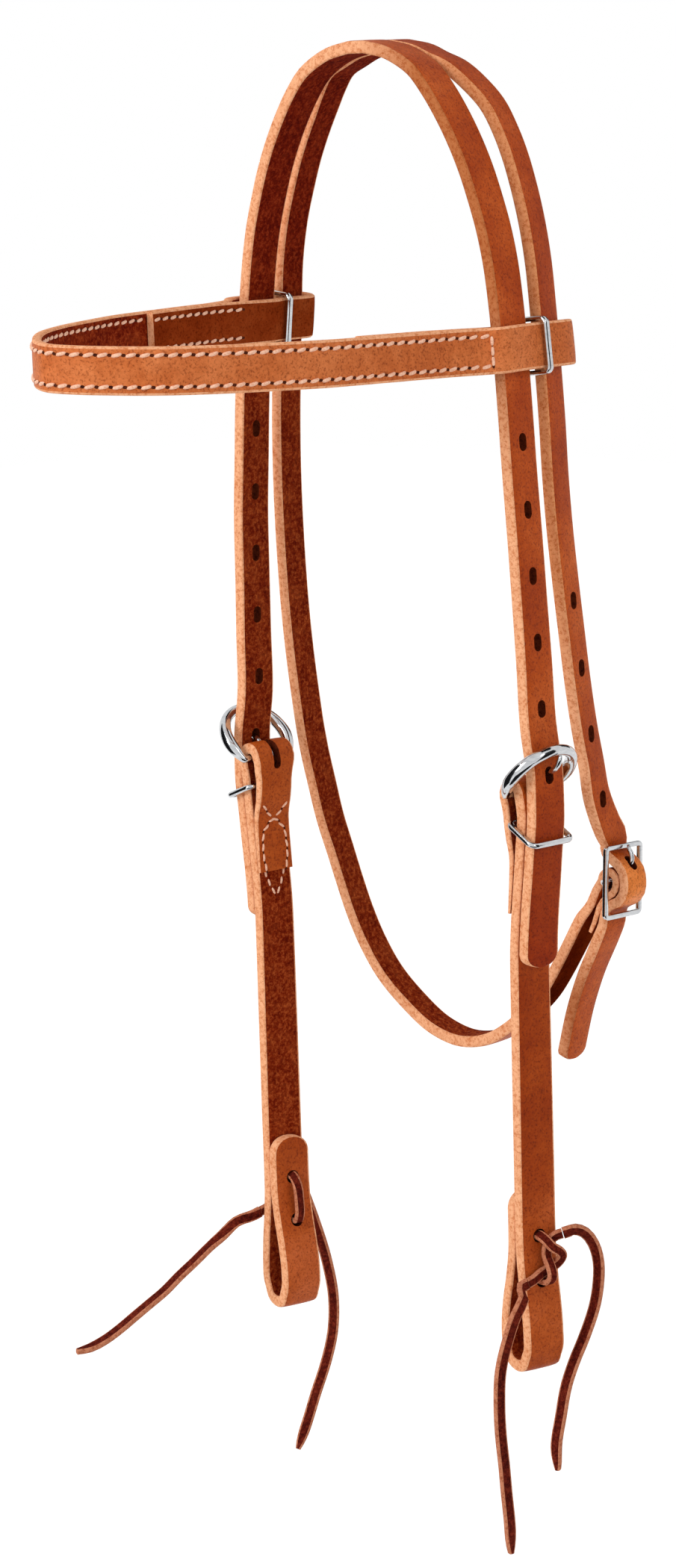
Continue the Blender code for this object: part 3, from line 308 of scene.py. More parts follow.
def add_math(tree, operation, first, second):
    return add_node(tree, "Math", {0: first, 1: second}, operation=operation).outputs[0]


def add_noise(tree, scale, detail, roughness, stretch=(1, 1, 1)):
    """A noise in the object's own space, in metres, stretched as asked."""
    where = add_node(tree, "TexCoord").outputs["Object"]
    fit = add_node(tree, "Mapping", {"Vector": where, "Scale": stretch}).outputs["Vector"]
    feeds = {"Vector": fit, "Scale": scale, "Detail": detail, "Roughness": roughness}
    return add_node(tree, "TexNoise", feeds).outputs["Fac"]


def add_ramp(tree, factor, *stops):
    ramp = add_node(tree, "ValToRGB", {"Fac": factor})
    while len(ramp.color_ramp.elements) < len(stops):
        ramp.color_ramp.elements.new(0.5)
    for element, (place, colour) in zip(ramp.color_ramp.elements, stops):
        element.position = place
        element.color = (*colour, 1)
    return ramp.outputs["Color"]


def add_mix(tree, factor, first, second, blend="MIX"):
    mix = add_node(tree, "Mix", {"Factor": factor}, data_type="RGBA", blend_type=blend)
    for socket, colour in zip([s for s in mix.inputs if s.type == "RGBA"], (first, second)):
        feed(tree, socket, colour)
    return [s for s in mix.outputs if s.type == "RGBA"][0]


def add_bump(tree, shader, height, strength, distance):
    bump = add_node(tree, "Bump", {"Height": height, "Strength": strength, "Distance": distance})
    feed(tree, shader.inputs["Normal"], bump.outputs["Normal"])


def add_tones(tree, colour, tones):
    """Tints a colour in stretches, each where its ranges along the axes meet: painted shade and painted
    highlights where light falls, or plain darker and lighter stretches.
    """
    where = add_node(tree, "TexCoord").outputs["Object"]
    axes = add_node(tree, "SeparateXYZ", {"Vector": where})
    for tint, *ranges in tones:
        parts = []
        for axis, start, end in ranges:
            feeds = {"Value": axes.outputs[axis], "From Min": start, "From Max": end}
            parts.append(add_node(tree, "MapRange", feeds).outputs["Result"])
        amount = parts[0]
        for part in parts[1:]:
            amount = add_math(tree, "MULTIPLY", amount, part)
        colour = add_mix(tree, amount, colour, tint, "MULTIPLY")
    return colour


def grain_finish(name, pale, middle, deep, tones=(), shine=0.12):
    """Oiled russet grain: soft clouds, mottling, fine pores and faint creases."""
    made, tree, shader = finish_nodes(name, 0.48, shine)
    clouds = add_noise(tree, 30, 6, 0.62)
    base = add_ramp(tree, clouds, (0.34, deep), (0.52, middle), (0.70, pale))
    mottle = add_noise(tree, 380, 5, 0.7)
    patch = add_ramp(tree, mottle, (0.34, (0.86, 0.80, 0.74)), (0.52, (1, 1, 1)), (0.70, (1.10, 1.14, 1.2)))
    pores = add_noise(tree, 1100, 3, 0.65)
    speck = add_ramp(tree, pores, (0.36, (0.60, 0.50, 0.44)), (0.47, (1, 1, 1)), (0.68, (1.08, 1.09, 1.1)))
    tone = add_mix(tree, 1.0, add_mix(tree, 1.0, base, patch, "MULTIPLY"), speck, "MULTIPLY")
    feed(tree, shader.inputs["Base Color"], add_tones(tree, tone, tones))
    wrinkles = add_noise(tree, 620, 6, 0.7)
    add_bump(tree, shader, wrinkles, 0.4, 0.0004)
    return made


def edge_finish(name, pale, deep, tones=(), shine=0.08):
    """Cut edge: pale open fibre, darker where dye has run into it."""
    made, tree, shader = finish_nodes(name, 0.85, shine)
    fibres = add_noise(tree, 760, 6, 0.8)
    streaks = add_noise(tree, 190, 4, 0.6)
    fine_tone = add_ramp(tree, fibres, (0.42, deep), (0.51, pale))
    tone = add_mix(tree, 0.3, fine_tone, add_ramp(tree, streaks, (0.35, deep), (0.60, pale)))
    feed(tree, shader.inputs["Base Color"], add_tones(tree, tone, tones))
    add_bump(tree, shader, fibres, 0.6, 0.0005)
    return made


def flesh_finish(name, pale, middle, deep, tones=()):
    """Flesh side: matted fibre, dark red brown with paler tufts."""
    made, tree, shader = finish_nodes(name, 0.95, 0.05)
    mat_fibre = add_noise(tree, 640, 8, 0.8)
    clouds = add_noise(tree, 110, 6, 0.7)
    tufts = add_ramp(tree, mat_fibre, (0.41, deep), (0.50, middle), (0.59, pale))
    tone = add_mix(tree, 0.3, tufts, add_ramp(tree, clouds, (0.36, deep), (0.50, middle), (0.66, pale)))
    feed(tree, shader.inputs["Base Color"], add_tones(tree, tone, tones))
    add_bump(tree, shader, mat_fibre, 0.9, 0.0007)
    return made


front_grain = grain_finish(
    "front_grain",
    (0.60, 0.120, 0.020),
    (0.48, 0.074, 0.006),
    (0.38, 0.047, 0.002),
    # painted shade: the billets darken towards their lower ends, standing in for the shade away from the
    # light above
    (((0.66, 0.42, 0.16), ("Z", -0.24, -0.345)),),
)
rear_grain = grain_finish(
    "rear_grain",
    (0.57, 0.105, 0.018),
    (0.46, 0.066, 0.005),
    (0.36, 0.042, 0.002),
    # painted highlight: the throat billet's bulge over the buckle bar is lightened where it faces the light;
    # below the brow the grain is a little lighter and warmer
    (((1.70, 3.1, 9.0), ("X", 0.0800, 0.0840)), ((1.05, 1.15, 1.0), ("Z", -0.10, -0.20))),
)
edge_pale = (0.98, 0.49, 0.265)
edge_deep = (0.68, 0.22, 0.08)
# the near front strap's cut edge is darker towards its top
near_front_edge_darker_high = ((0.55, 0.36, 0.22), ("X", 0.00, 0.03), ("Z", -0.17, -0.09))
# painted shadow: the front strap's shadow on the near rear branch's cut edge, high up
near_rear_edge_painted_shadow = ((0.80, 0.66, 0.52), ("X", 0.00, 0.04), ("Z", -0.25, -0.20))
# painted shade on the cut edges below the throat buckle, where the billet's tail and the rising throatlatch
# lie in shadow
tail_edge_painted_shade = ((0.50, 0.34, 0.24), ("X", 0.04, 0.055), ("Z", -0.345, -0.370))
cut_edge = edge_finish("cut_edge", edge_pale, edge_deep)
front_edge = edge_finish("front_edge", edge_pale, edge_deep, (near_front_edge_darker_high,))
rear_edge = edge_finish("rear_edge", edge_pale, edge_deep, (near_rear_edge_painted_shadow, tail_edge_painted_shade))
rough_flesh = flesh_finish(
    "rough_flesh",
    (0.50, 0.100, 0.022),
    (0.24, 0.020, 0.002),
    (0.10, 0.003, 0.000),
    (((0.80, 0.50, 0.50), ("Z", -0.14, -0.07)),),
)
# painted shade: the walls of punched holes and slots are near black, standing in for the shade inside them
painted_shade_hole_wall = edge_finish("painted_shade_hole_wall", (0.13, 0.022, 0.008), (0.045, 0.006, 0.003), shine=0.0)


def refinish(piece, finish, chosen):
    """Gives another finish to the grain faces that are chosen."""
    piece.data.materials.append(finish)
    last = len(piece.data.materials) - 1
    for face in piece.data.polygons:
        if face.material_index == 0 and chosen(face):
            face.material_index = last


crown_shares = (
    (0.05, 0.0), (0.183, 0.0074), (0.265, 0.017), (0.354, 0.032), (0.445, 0.0595), (0.520, 0.089),
    (0.600, 0.127), (0.663, 0.164), (0.714, 0.202), (0.758, 0.240), (0.791, 0.279), (0.826, 0.342),
    (0.851, 0.406), (0.875, 0.484), (0.894, 0.565), (0.915, 0.647), (0.929, 0.732), (0.944, 0.820),
    (0.958, 0.909), (0.996, 0.972), (1.0, 1.0),
)
throat_bar = Vector((0.0770, 0.0380, -0.3218))
crown_drop = heel_depth + half_leather
crown_half = [Vector((wide * billet_spread, half_leather - drop * crown_drop)) for wide, drop in crown_shares]


def front_billet(side):
    """Middle line of a front billet, from beside the crest down to its tip."""
    points = [on_cheek(side, p.x, 0, p.y) for p in crown_half[3:]]
    for share in (0.16, 0.33, 0.5, 0.7, 0.85, 1.0):
        height = -heel_depth - share * billet_tail
        points.append(on_cheek(side, strap_spread(height) + leather_thickness + ply_gap, 0, height))
    return points


def blunt_end(line, width, keep, fullness):
    """The line and its widths, drawn in to a blunt tip at its last end."""
    last, way = line[-1], (line[-1] - line[-2]).normalized()
    reach = width / 2 * keep
    while (line[-1] - last).length < reach and len(line) > 2:
        line = line[:-1]
    widths = [width] * len(line)
    for k in range(11):
        angle = math.pi / 2 * k / 10.4
        line = line + [last - way * reach * (1 - math.sin(angle))]
        widths.append(width * math.cos(angle) ** fullness)
    return line, widths


strap_step = 0.0026
front_tip = (0.64, 0.8)
crest_half = [(-1, point) for point in crown_half[2::-1]] + [(1, point) for point in crown_half[:3]]
crest_line = [Vector((side * point.x, -branch_back, point.y)) for side, point in crest_half]
near_run = drawn_line(crest_line[3:] + front_billet(1), strap_step)
far_run = drawn_line(crest_line[2::-1] + front_billet(-1), strap_step)
near_run, near_widths = blunt_end(near_run, branch_width, *front_tip)
far_run, far_widths = blunt_end(far_run, branch_width, *front_tip)
front_run = far_run[::-1] + near_run
front_widths = far_widths[::-1] + near_widths
front_holes = []
for side in (1, -1):
    hole_line = drawn_line([on_cheek(side, p.x, 0, p.y) for p in crown_half[3:]], hole_step)
    first_hole = first_hole_lift - heel_depth
    front_holes += punched_row(hole_line, first_hole, front_hole_count, hole_pitch, rearward)
front_strap = lay_strap(
    "crown_front_strap",
    front_run,
    [rearward(p.z) for p in front_run],
    front_widths,
    [leather_thickness] * len(front_run),
    (front_grain, front_edge, rough_flesh),
    front_holes,
)
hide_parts("crown_strap")
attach(front_strap, "crown")

# Crown strap, behind
# The rear branches of the same length of leather. The near one is the throat billet, which comes down
# through its buckle. The far one runs on under the jaw as the throatlatch, folded round the buckle's bar.
rear_places = (
    (0.383, 0.205, 0.0186), (0.487, 0.276, 0.0404), (0.564, 0.330, 0.0622), (0.642, 0.343, 0.0932),
    (0.703, 0.341, 0.1243), (0.750, 0.336, 0.1554), (0.804, 0.325, 0.1989), (0.844, 0.320, 0.2486),
    (0.863, 0.323, 0.2952), (0.888, 0.329, 0.3729), (0.906, 0.329, 0.4351), (0.917, 0.333, 0.4972),
    (0.928, 0.356, 0.5594), (0.940, 0.397, 0.6215), (0.951, 0.450, 0.6837), (0.958, 0.515, 0.7458),
    (0.965, 0.601, 0.8080), (0.973, 0.681, 0.8546),
)
near_rear_places = ((0.979, 0.720, 0.8857),)
far_rear_places = ((0.979, 0.750, 0.8857), (0.982, 0.845, 0.925), (0.981, 0.970, 0.978))
latch_drop = 0.0820
latch_places = (
    (-0.955, 1.053, 0.079), (-0.914, 1.105, 0.244), (-0.866, 1.150, 0.402), (-0.800, 1.195, 0.556),
    (-0.705, 1.245, 0.708), (-0.560, 1.296, 0.846), (-0.372, 1.327, 0.960), (-0.215, 1.358, 1.000),
    (-0.080, 1.357, 0.987), (0.045, 1.334, 0.945), (0.167, 1.300, 0.877), (0.305, 1.258, 0.778),
    (0.428, 1.221, 0.670), (0.532, 1.179, 0.550), (0.616, 1.142, 0.441), (0.688, 1.108, 0.345),
    (0.778, 1.066, 0.226),
)
billet_bulges = (
    (-0.215, 1.500), (-0.290, 1.017), (-0.310, 0.881), (-0.220, 0.746), (0.000, 0.651), (0.282, 0.569),
    (0.590, 0.468), (0.846, 0.312), (0.962, 0.149), (1.000, 0.000), (0.974, -0.169), (0.859, -0.339),
    (0.590, -0.515), (0.128, -0.637), (-0.232, -0.766), (-0.360, -0.922), (-0.480, -1.200), (-0.900, -1.650),
    (-1.350, -2.080), (-1.880, -2.576), (-2.760, -3.600), (-3.790, -5.240),
)
latch_ends = ((-1.180, -0.660), (-0.840, -0.300), (-0.570, -0.090))
latch_returns = (
    (0.410, -0.149), (0.240, -0.298), (-0.115, -0.427), (-0.410, -0.556), (-0.667, -0.732),
    (-0.846, -0.949), (-1.030, -1.190), (-1.300, -1.450),
)
throat_frame_height = 0.0295
throat_lean = math.radians(-3)
end_lean = math.radians(2)
billet_slope = 0.80
tail_slope = 0.06
billet_turn = math.radians(8)
throat_tip = (0.62, 0.55)
throat_hole_count = 4
throat_hole_pitch = 0.0268
throat_hole_lift = 0.0339
throat_slot_reach = 0.0043
tongue_hole_angle = math.radians(50)
throat_fold_thickness = 0.0034
throat_billet_thickness = 0.0042
throat_bulge = fold_radius + throat_fold_thickness + close_gap + throat_billet_thickness / 2
lean_up = Vector((0, -math.sin(throat_lean), math.cos(throat_lean)))
lean_rear = Vector((0, math.cos(throat_lean), math.sin(throat_lean)))


def in_throat_frame(spread_share, rise_share):
    """A point in the middle plane of the throat buckle, which the straps leave at their own slopes."""
    wide = throat_bar.x + spread_share * throat_bulge
    rise = rise_share * throat_frame_height / 2
    inside = max(-0.75 * throat_frame_height, min(0.55 * throat_frame_height, rise))
    lean, slope = (throat_lean, billet_slope) if rise > 0 else (end_lean, tail_slope)
    back = throat_bar.y - inside * math.tan(lean) - (rise - inside) * slope
    return Vector((wide, back, throat_bar.z + rise * math.cos(throat_lean)))


def across_throat(height):
    """Across a strap at the throat buckle, leaning with the frame near it and level away from it."""
    near = max(0.0, min(1.0, 2.2 - abs(height - throat_bar.z) / (throat_frame_height / 2)))
    return Vector((0, math.cos(throat_lean * near), math.sin(throat_lean * near)))


def across_billet(height):
    """Across the throat billet, which is turned on its way from the crest down to the buckle."""
    above = (height - throat_bar.z) / throat_frame_height
    fade = max(0.0, min(1.0, -height / (2 * throat_width), above - 0.6))
    across = across_throat(height)
    turn = billet_turn * fade
    return Vector((-math.sin(turn), across.y * math.cos(turn), across.z))


def rear_branch(side):
    points = []
    for spread, back, depth in rear_places + (near_rear_places if side > 0 else far_rear_places):
        points.append(Vector((side * spread * throat_bar.x, back * throat_bar.y, depth * throat_bar.z)))
    return points


rear_crest = [Vector((p.x, throat_back, p.z)) for p in crest_line]
billet_points = [in_throat_frame(*share) for share in billet_bulges]
near_rear = drawn_line(rear_crest[3:] + rear_branch(1) + billet_points, strap_step)
near_rear, near_rear_widths = blunt_end(near_rear, throat_width, *throat_tip)
far_points = rear_branch(-1)
for spread, back, drop in latch_places:
    far_points.append(Vector((spread * throat_bar.x, back * throat_bar.y, throat_bar.z - drop * latch_drop)))
far_points += [in_throat_frame(*share) for share in latch_ends]
far_rear = drawn_line(rear_crest[2::-1] + far_points, strap_step)
latch_long = len(far_rear)
skived_rings = 8
fold_steps = 16
fold_reach = fold_radius + throat_fold_thickness / 2
fold = []
for step in range(fold_steps + 1):
    angle = math.pi * (1 - step / fold_steps)
    fold.append(throat_bar + (outboard * math.cos(angle) + lean_up * math.sin(angle)) * fold_reach)
last_stretch = [fold[-1]] + [in_throat_frame(*share) for share in latch_returns]
far_rear += fold + drawn_line(last_stretch, strap_step)[1:]
far_rear_thick = []
for i in range(len(far_rear)):
    skived = max(0.0, min(1.0, (i - latch_long + skived_rings) / skived_rings))
    gone = max(0, i - latch_long - fold_steps) / (len(far_rear) - latch_long - fold_steps - 1)
    thickness = leather_thickness + (throat_fold_thickness - leather_thickness) * skived
    far_rear_thick.append(thickness * (1 - 0.5 * gone))
near_rear_thick = []
for point in near_rear:
    blend = max(0.0, min(1.0, 2.4 - abs(point.z - throat_bar.z) / (throat_frame_height / 2) * 1.4))
    near_rear_thick.append(leather_thickness + (throat_billet_thickness - leather_thickness) * blend)
hole_out = outboard * math.cos(tongue_hole_angle) + lean_up * math.sin(tongue_hole_angle)
hole_along = lean_up * math.cos(tongue_hole_angle) - outboard * math.sin(tongue_hole_angle)
tongue_hole = throat_bar + hole_out * throat_bulge
hole_depth = 1.5 * leather_thickness
throat_holes = [slot_punch(hole_width, hole_length, hole_depth, tongue_hole, lean_rear, hole_along)]
hole_line = drawn_line(rear_branch(1) + billet_points[:1], hole_step)
first_hole = throat_bar.z + throat_hole_lift
throat_holes += punched_row(hole_line, first_hole, throat_hole_count, throat_hole_pitch, across_billet)
slot_top = fold_radius + throat_fold_thickness + close_gap / 2
slot_middle = throat_bar + lean_up * (slot_top - throat_slot_reach) / 2
slot_length = slot_top + throat_slot_reach
fold_slot = slot_punch(tongue_slot_width, slot_length, 2 * slot_top, slot_middle, -lean_rear, lean_up)
throat_holes.append(fold_slot)
rear_strap = lay_strap(
    "crown_rear_strap",
    far_rear[::-1] + near_rear,
    [across_throat(p.z) for p in far_rear[::-1]] + [across_billet(p.z) for p in near_rear],
    [throat_width] * len(far_rear) + near_rear_widths,
    far_rear_thick[::-1] + near_rear_thick,
    (rear_grain, rear_edge, rough_flesh),
    throat_holes,
)
shade_from = 0.03
shade_below = -0.333
shaded_grain = grain_finish(
    "shaded_grain", (0.26, 0.040, 0.006), (0.15, 0.016, 0.002), (0.08, 0.007, 0.001), shine=0.0
)


def on_latch(face):
    """Whether a face is on the throatlatch where it rises to the buckle, and not on the billet's tail."""
    if face.center.x < shade_from or face.center.z > shade_below:
        return False
    from_latch = min((point - face.center).length for point in far_rear[:latch_long])
    return from_latch < min((point - face.center).length for point in near_rear)


refinish(rear_strap, shaded_grain, on_latch)
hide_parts("crown_strap")
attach(rear_strap, "crown")

# Browband
# One strap of the same russet leather, sewn near both edges with pale waxed thread. Each end is
# taken round both branches, lapped back inside and sewn down, with a cross row to close it.
band_height = 0.0172
band_thickness = 0.0036
band_reach = 0.1730
band_gap = 0.0017
band_lap = 0.0030
band_dip = 0.0007
band_depth = 0.1063
band_tilt = 0.064
band_fine = 0.0022
band_search = 0.0085
passing_share = 0.85
band_shares = (
    (0.000, 1.000), (0.113, 0.985), (0.299, 0.929), (0.461, 0.858), (0.609, 0.753), (0.730, 0.624),
    (0.816, 0.515), (0.867, 0.396), (0.917, 0.266), (0.956, 0.154), (1.012, 0.089),
)
lap_shares = (0.085, 0.154, 0.266, 0.350, 0.410)
band_offset = half_leather + band_gap + band_thickness / 2
crown_run = drawn_line([Vector((p.x, p.y, 0)) for p in crown_half], band_search)
rear_side = drawn_line(rear_branch(1), band_search)


def band_level(x):
    return -band_depth - band_tilt * x


def branch_at(side):
    """The crown's spread and slope where the browband passes, then the rear branch's spread and set back."""
    height = band_level(side * billet_spread * passing_share)
    for a, b in zip(crown_run, crown_run[1:]):
        if b.y <= height <= a.y:
            part = (a.y - height) / (a.y - b.y)
            spread, slope = a.x + part * (b.x - a.x), (b.x - a.x) / (a.y - b.y)
    for a, b in zip(rear_side, rear_side[1:]):
        if b.z <= height <= a.z:
            part = (a.z - height) / (a.z - b.z)
            rear_spread, back = a.x + part * (b.x - a.x), a.y + part * (b.y - a.y)
    front = on_cheek(side, spread, 0, height).y
    gap = (front + branch_width / 2 + back - throat_width / 2) / 2
    return spread, slope, front, rear_spread, back, gap


def band_rows():
    """Middles, rises and thicknesses of the browband from the far lap to the near lap."""
    sides = []
    for side in (-1, 1):
        spread, slope, front, rear_spread, rear, gap = branch_at(side)
        outer, inner = spread + band_offset, spread - band_offset
        between = (spread + rear_spread) / 2
        rows = [(wide * spread, front - ahead * band_reach, 1.0) for wide, ahead in band_shares]
        rows.append((outer - band_gap * 0.4, front - branch_width / 2 - band_gap, 1.0))
        rows.append((outer, front - branch_width * 0.2, 1.0))
        rows.append((outer, front + branch_width * 0.25, 1.0))
        rows.append((between + band_offset - band_dip, gap, 1.0))
        rows.append((rear_spread + band_offset, rear - throat_width * 0.35, 1.0))
        turn = rear + throat_width / 2 - band_gap * 1.2
        for i in range(9):
            angle = math.pi / 2 - math.pi * i / 8
            wide = rear_spread + band_offset * math.sin(angle)
            rows.append((wide, turn + band_offset * math.cos(angle), 1.0))
        rows.append((rear_spread - band_offset, rear - throat_width * 0.35, 1.0))
        rows.append((between - band_offset + band_dip, gap, 1.0))
        rows.append((inner, front + branch_width * 0.25, 1.0))
        thin = band_lap / band_thickness
        rows.append((inner, front - branch_width * 0.3, (1 + thin) / 2))
        step = (band_thickness + band_lap) / 2 + close_gap
        mains = [(ahead, wide) for wide, ahead in reversed(band_shares)]
        for share in lap_shares:
            wide = min(read_share(mains, share) * spread - step, inner - (share - 0.020) * band_gap)
            rows.append((wide, front - share * band_reach, thin))
        placed = []
        for wide, back, thin_share in rows:
            lean = max(0.0, min(1.0, 1 - (front - back) / (branch_width * 2)))
            rise = Vector((-side * slope * lean, 0, 1)).normalized()
            level = band_level(side * spread) + slope * (wide - spread)
            point = Vector((side * wide, back, (1 - lean) * band_level(side * wide) + lean * level))
            placed.append((point, rise, thin_share))
        sides.append(placed)
    return sides[0][::-1] + sides[1][1:]


rows = band_rows()
band_points = [row[0] for row in rows]
band_line, band_rises, band_thicks = [], [], []
fine_band = drawn_line(band_points, band_fine)
index = 0
for i, (a, b) in enumerate(zip(band_points, band_points[1:])):
    steps = max(1, round((b - a).length / band_fine))
    for step in range(steps):
        t = step / steps
        band_line.append(fine_band[index])
        band_rises.append((rows[i][1] * (1 - t) + rows[i + 1][1] * t).normalized())
        band_thicks.append(band_thickness * (rows[i][2] * (1 - t) + rows[i + 1][2] * t))
        index += 1
band_line.append(fine_band[-1])
band_rises.append(rows[-1][1])
band_thicks.append(band_thickness * rows[-1][2])
# painted light: the browband's grain is paler than the straps of the same leather, standing in for the light
# on its front
band_grain = grain_finish("browband_grain", (0.72, 0.215, 0.066), (0.60, 0.150, 0.036), (0.50, 0.105, 0.020))
browband = lay_strap(
    "browband_leather",
    band_line,
    band_rises,
    [band_height] * len(band_line),
    band_thicks,
    (band_grain, cut_edge, rough_flesh),
)
# painted shade: the browband's inboard faces at its ends get a darker grain without sheen, standing in for
# the shade inside the laps
lap_front = -0.13
lap_painted_shade_grain = grain_finish(
    "lap_painted_shade_grain", (0.36, 0.070, 0.016), (0.27, 0.040, 0.007), (0.18, 0.020, 0.003), shine=0.0
)
refinish(browband, lap_painted_shade_grain, lambda face: face.normal.x * face.center.x < 0 and face.center.y > lap_front)
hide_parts("browband")
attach(browband, "browband")

# Browband stitching
# Pale waxed thread in a row along each edge, with a cross row at each end. It sews down the laps and
# shows inside too: on each lap, and on the flesh side between them.


def thread_finish():
    """Pale waxed thread, laid up from plies."""
    made, tree, shader = finish_nodes("waxed_thread", 0.6)
    plies = add_noise(tree, 1400, 3, 0.6)
    tone = add_ramp(tree, plies, (0.30, (0.78, 0.36, 0.21)), (0.60, (1.0, 0.62, 0.44)))
    feed(tree, shader.inputs["Base Color"], tone)
    add_bump(tree, shader, plies, 0.5, 0.0003)
    return made


waxed_thread = thread_finish()
# painted shade: dark discs stand on the leather for the shade in the needle holes
painted_shade_needle_hole = edge_finish("painted_shade_needle_hole", (0.10, 0.02, 0.008), (0.03, 0.006, 0.003))


def round_angles(count):
    return [2 * math.pi * k / count for k in range(count)]


def stitch_row(build, line, outs, pitch, length, wide, slant):
    """Slanted stitches along a line on a face: each a small thread bow, with a dark disc of painted shade for
    the needle hole between.
    """
    runs = run_lengths(line)
    count = max(1, round(runs[-1] / pitch))
    spacing = runs[-1] / count
    k = 0
    for n in range(count):
        centre_run = (n + 0.5) * spacing
        while k < len(runs) - 2 and runs[k + 1] < centre_run:
            k += 1
        part = (centre_run - runs[k]) / max(1e-9, runs[k + 1] - runs[k])
        spot = line[k] + (line[k + 1] - line[k]) * part
        way = (line[k + 1] - line[k]).normalized()
        out = outs[k]
        rise = out.cross(way).normalized()
        lay = (way * math.cos(slant) + rise * math.sin(slant)).normalized()
        side = out.cross(lay).normalized()
        rings = []
        for share in [-1 + s / 4 for s in range(9)]:
            swell = wide / 2 * max(0.30, (1 - abs(share) ** 3.0)) ** 0.5
            bow = wide * 0.16 * (1 - share**2) - wide * 0.30 * share**4
            middle = spot + lay * (share * length / 2) + out * bow
            rings.append([
                build.verts.new(middle + side * math.cos(a) * swell + out * math.sin(a) * swell * 0.8)
                for a in round_angles(8)
            ])
        skin_rings(build, rings)
        build.faces.new(rings[0][::-1])
        build.faces.new(rings[-1])
        # painted shade: a dark disc for the needle hole
        hole = spot + way * (spacing / 2) + out * needle_lift
        disc = [
            build.verts.new(hole + way * math.cos(a) * wide * 0.62 + rise * math.sin(a) * wide * 0.42)
            for a in round_angles(10)
        ]
        build.faces.new(disc).material_index = 1


def thread_piece(name, build):
    bmesh.ops.recalc_face_normals(build, faces=build.faces)
    return make_piece(name, build, (waxed_thread, painted_shade_needle_hole))


thread_sink = 0.00005
needle_lift = 0.00006
seam_pitch = 0.0050
cross_pitch = 0.0036
seam_inset = 0.0030
seam_end_gap = 0.0045
outer_stitch = (0.0041, 0.0014, math.radians(14))
inner_stitch = (0.0039, 0.0013, math.radians(12))
cross_stitch = (0.0038, 0.0013, 0.0)
cross_back = -branch_back - branch_width / 2 - seam_end_gap
full_thickness = band_thickness * 0.99
seam_reach = band_height / 2 - seam_inset
ways = way_along(band_line)
sewn = bmesh.new()
sewn_stretch = [i for i, p in enumerate(band_line) if p.y < cross_back]
outer = [i for i in sewn_stretch if band_thicks[i] > full_thickness]
lap_reach = 0.415 * band_reach
between_laps = [i for i in outer if abs(band_line[i].y + branch_back) > lap_reach]


def on_band(picked, rises, face=1):
    """Spots on the outer or inner face of the browband, at rises from its middle, and the ways out."""
    spots, outs = [], []
    for i, rise in zip(picked, rises):
        out = ways[i].cross(band_rises[i]).normalized() * face
        spots.append(band_line[i] + out * (band_thicks[i] / 2 - thread_sink) + band_rises[i] * rise)
        outs.append(out)
    return spots, outs


for edge in (seam_reach, -seam_reach):
    seams = [(outer, 1, outer_stitch), (between_laps, -1, inner_stitch)]
    # Each lap shows the seam again, with the shorter stitch of the inside
    for side in (1, -1):
        lap = [i for i in sewn_stretch if side * band_line[i].x > 0 and band_thicks[i] < full_thickness]
        seams.append((lap, 1, inner_stitch))
    for picked, face, stitch in seams:
        spots, outs = on_band(picked, [edge] * len(picked), face)
        stitch_row(sewn, spots, outs, seam_pitch, *stitch)
for i in (outer[0], outer[-1]):
    spots, outs = on_band([i] * 7, [seam_reach * (1 - k / 3) for k in range(7)])
    stitch_row(sewn, spots, outs, cross_pitch, *cross_stitch)
band_thread = thread_piece("browband_thread", sewn)
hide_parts("browband_stitching")
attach(band_thread, "browband")

# Browband loops
# A flat wire loop of polished steel goes round both layers of each browband end. It is pinched
# into the gap between the two branches, so that the band stays where it is set.
metal_grey = (0.60, 0.61, 0.62)
scuff_grey = (0.50, 0.51, 0.53)


def polished_finish(name, roughness):
    """Polished plate: bright, with fine wear scratches and a few dull specks."""
    made, tree, shader = finish_nodes(name)
    scuffs = add_noise(tree, 260, 4, 0.6, (1, 1, 4))
    tone = add_ramp(tree, scuffs, (0.35, scuff_grey), (0.60, metal_grey))
    feed(tree, shader.inputs["Base Color"], tone)
    shader.inputs["Metallic"].default_value = 1.0
    feeds = {"Value": scuffs, "To Min": roughness * 0.6, "To Max": roughness * 1.5}
    feed(tree, shader.inputs["Roughness"], add_node(tree, "MapRange", feeds).outputs["Result"])
    add_bump(tree, shader, scuffs, 0.03, 0.0002)
    return made


bright_plate = polished_finish("bright_plate", 0.09)


def swept(name, line, section_at, frames, closed):
    """A plated piece drawn along a line: section_at(i) gives each ring's offsets on its frame's ways."""
    build = bmesh.new()
    rings = []
    for i, (point, (side, out)) in enumerate(zip(line, frames)):
        rings.append([build.verts.new(point + side * a + out * b) for a, b in section_at(i)])
    skin_rings(build, rings, closed=closed)
    if not closed:
        build.faces.new(rings[0][::-1])
        build.faces.new(rings[-1])
    bmesh.ops.recalc_face_normals(build, faces=build.faces)
    return make_piece(name, build, (bright_plate,))


def rounded_bar(wide, thick, count, power):
    """A soft-cornered section of a bar, wide by thick."""
    points = []
    for angle in round_angles(count):
        c, s = math.cos(angle), math.sin(angle)
        points.append((
            wide / 2 * math.copysign(abs(c) ** (2 / power), c),
            thick / 2 * math.copysign(abs(s) ** (2 / power), s),
        ))
    return points


def rounded_box(half_wide, half_high, corner, steps):
    points = []
    for k, (x, y) in enumerate(((1, 1), (-1, 1), (-1, -1), (1, -1))):
        for i in range(steps + 1):
            angle = math.pi / 2 * (k + i / steps)
            across = x * (half_wide - corner) + corner * math.cos(angle)
            points.append((across, y * (half_high - corner) + corner * math.sin(angle)))
    return points


def ring_piece(name, ring, normal, section_at):
    """A plated piece round a closed ring in one plane, with its sections set to the plane."""
    ways = [(ring[(i + 1) % len(ring)] - ring[i - 1]).normalized() for i in range(len(ring))]
    return swept(name, ring, section_at, [(way.cross(normal).normalized(), normal) for way in ways], True)


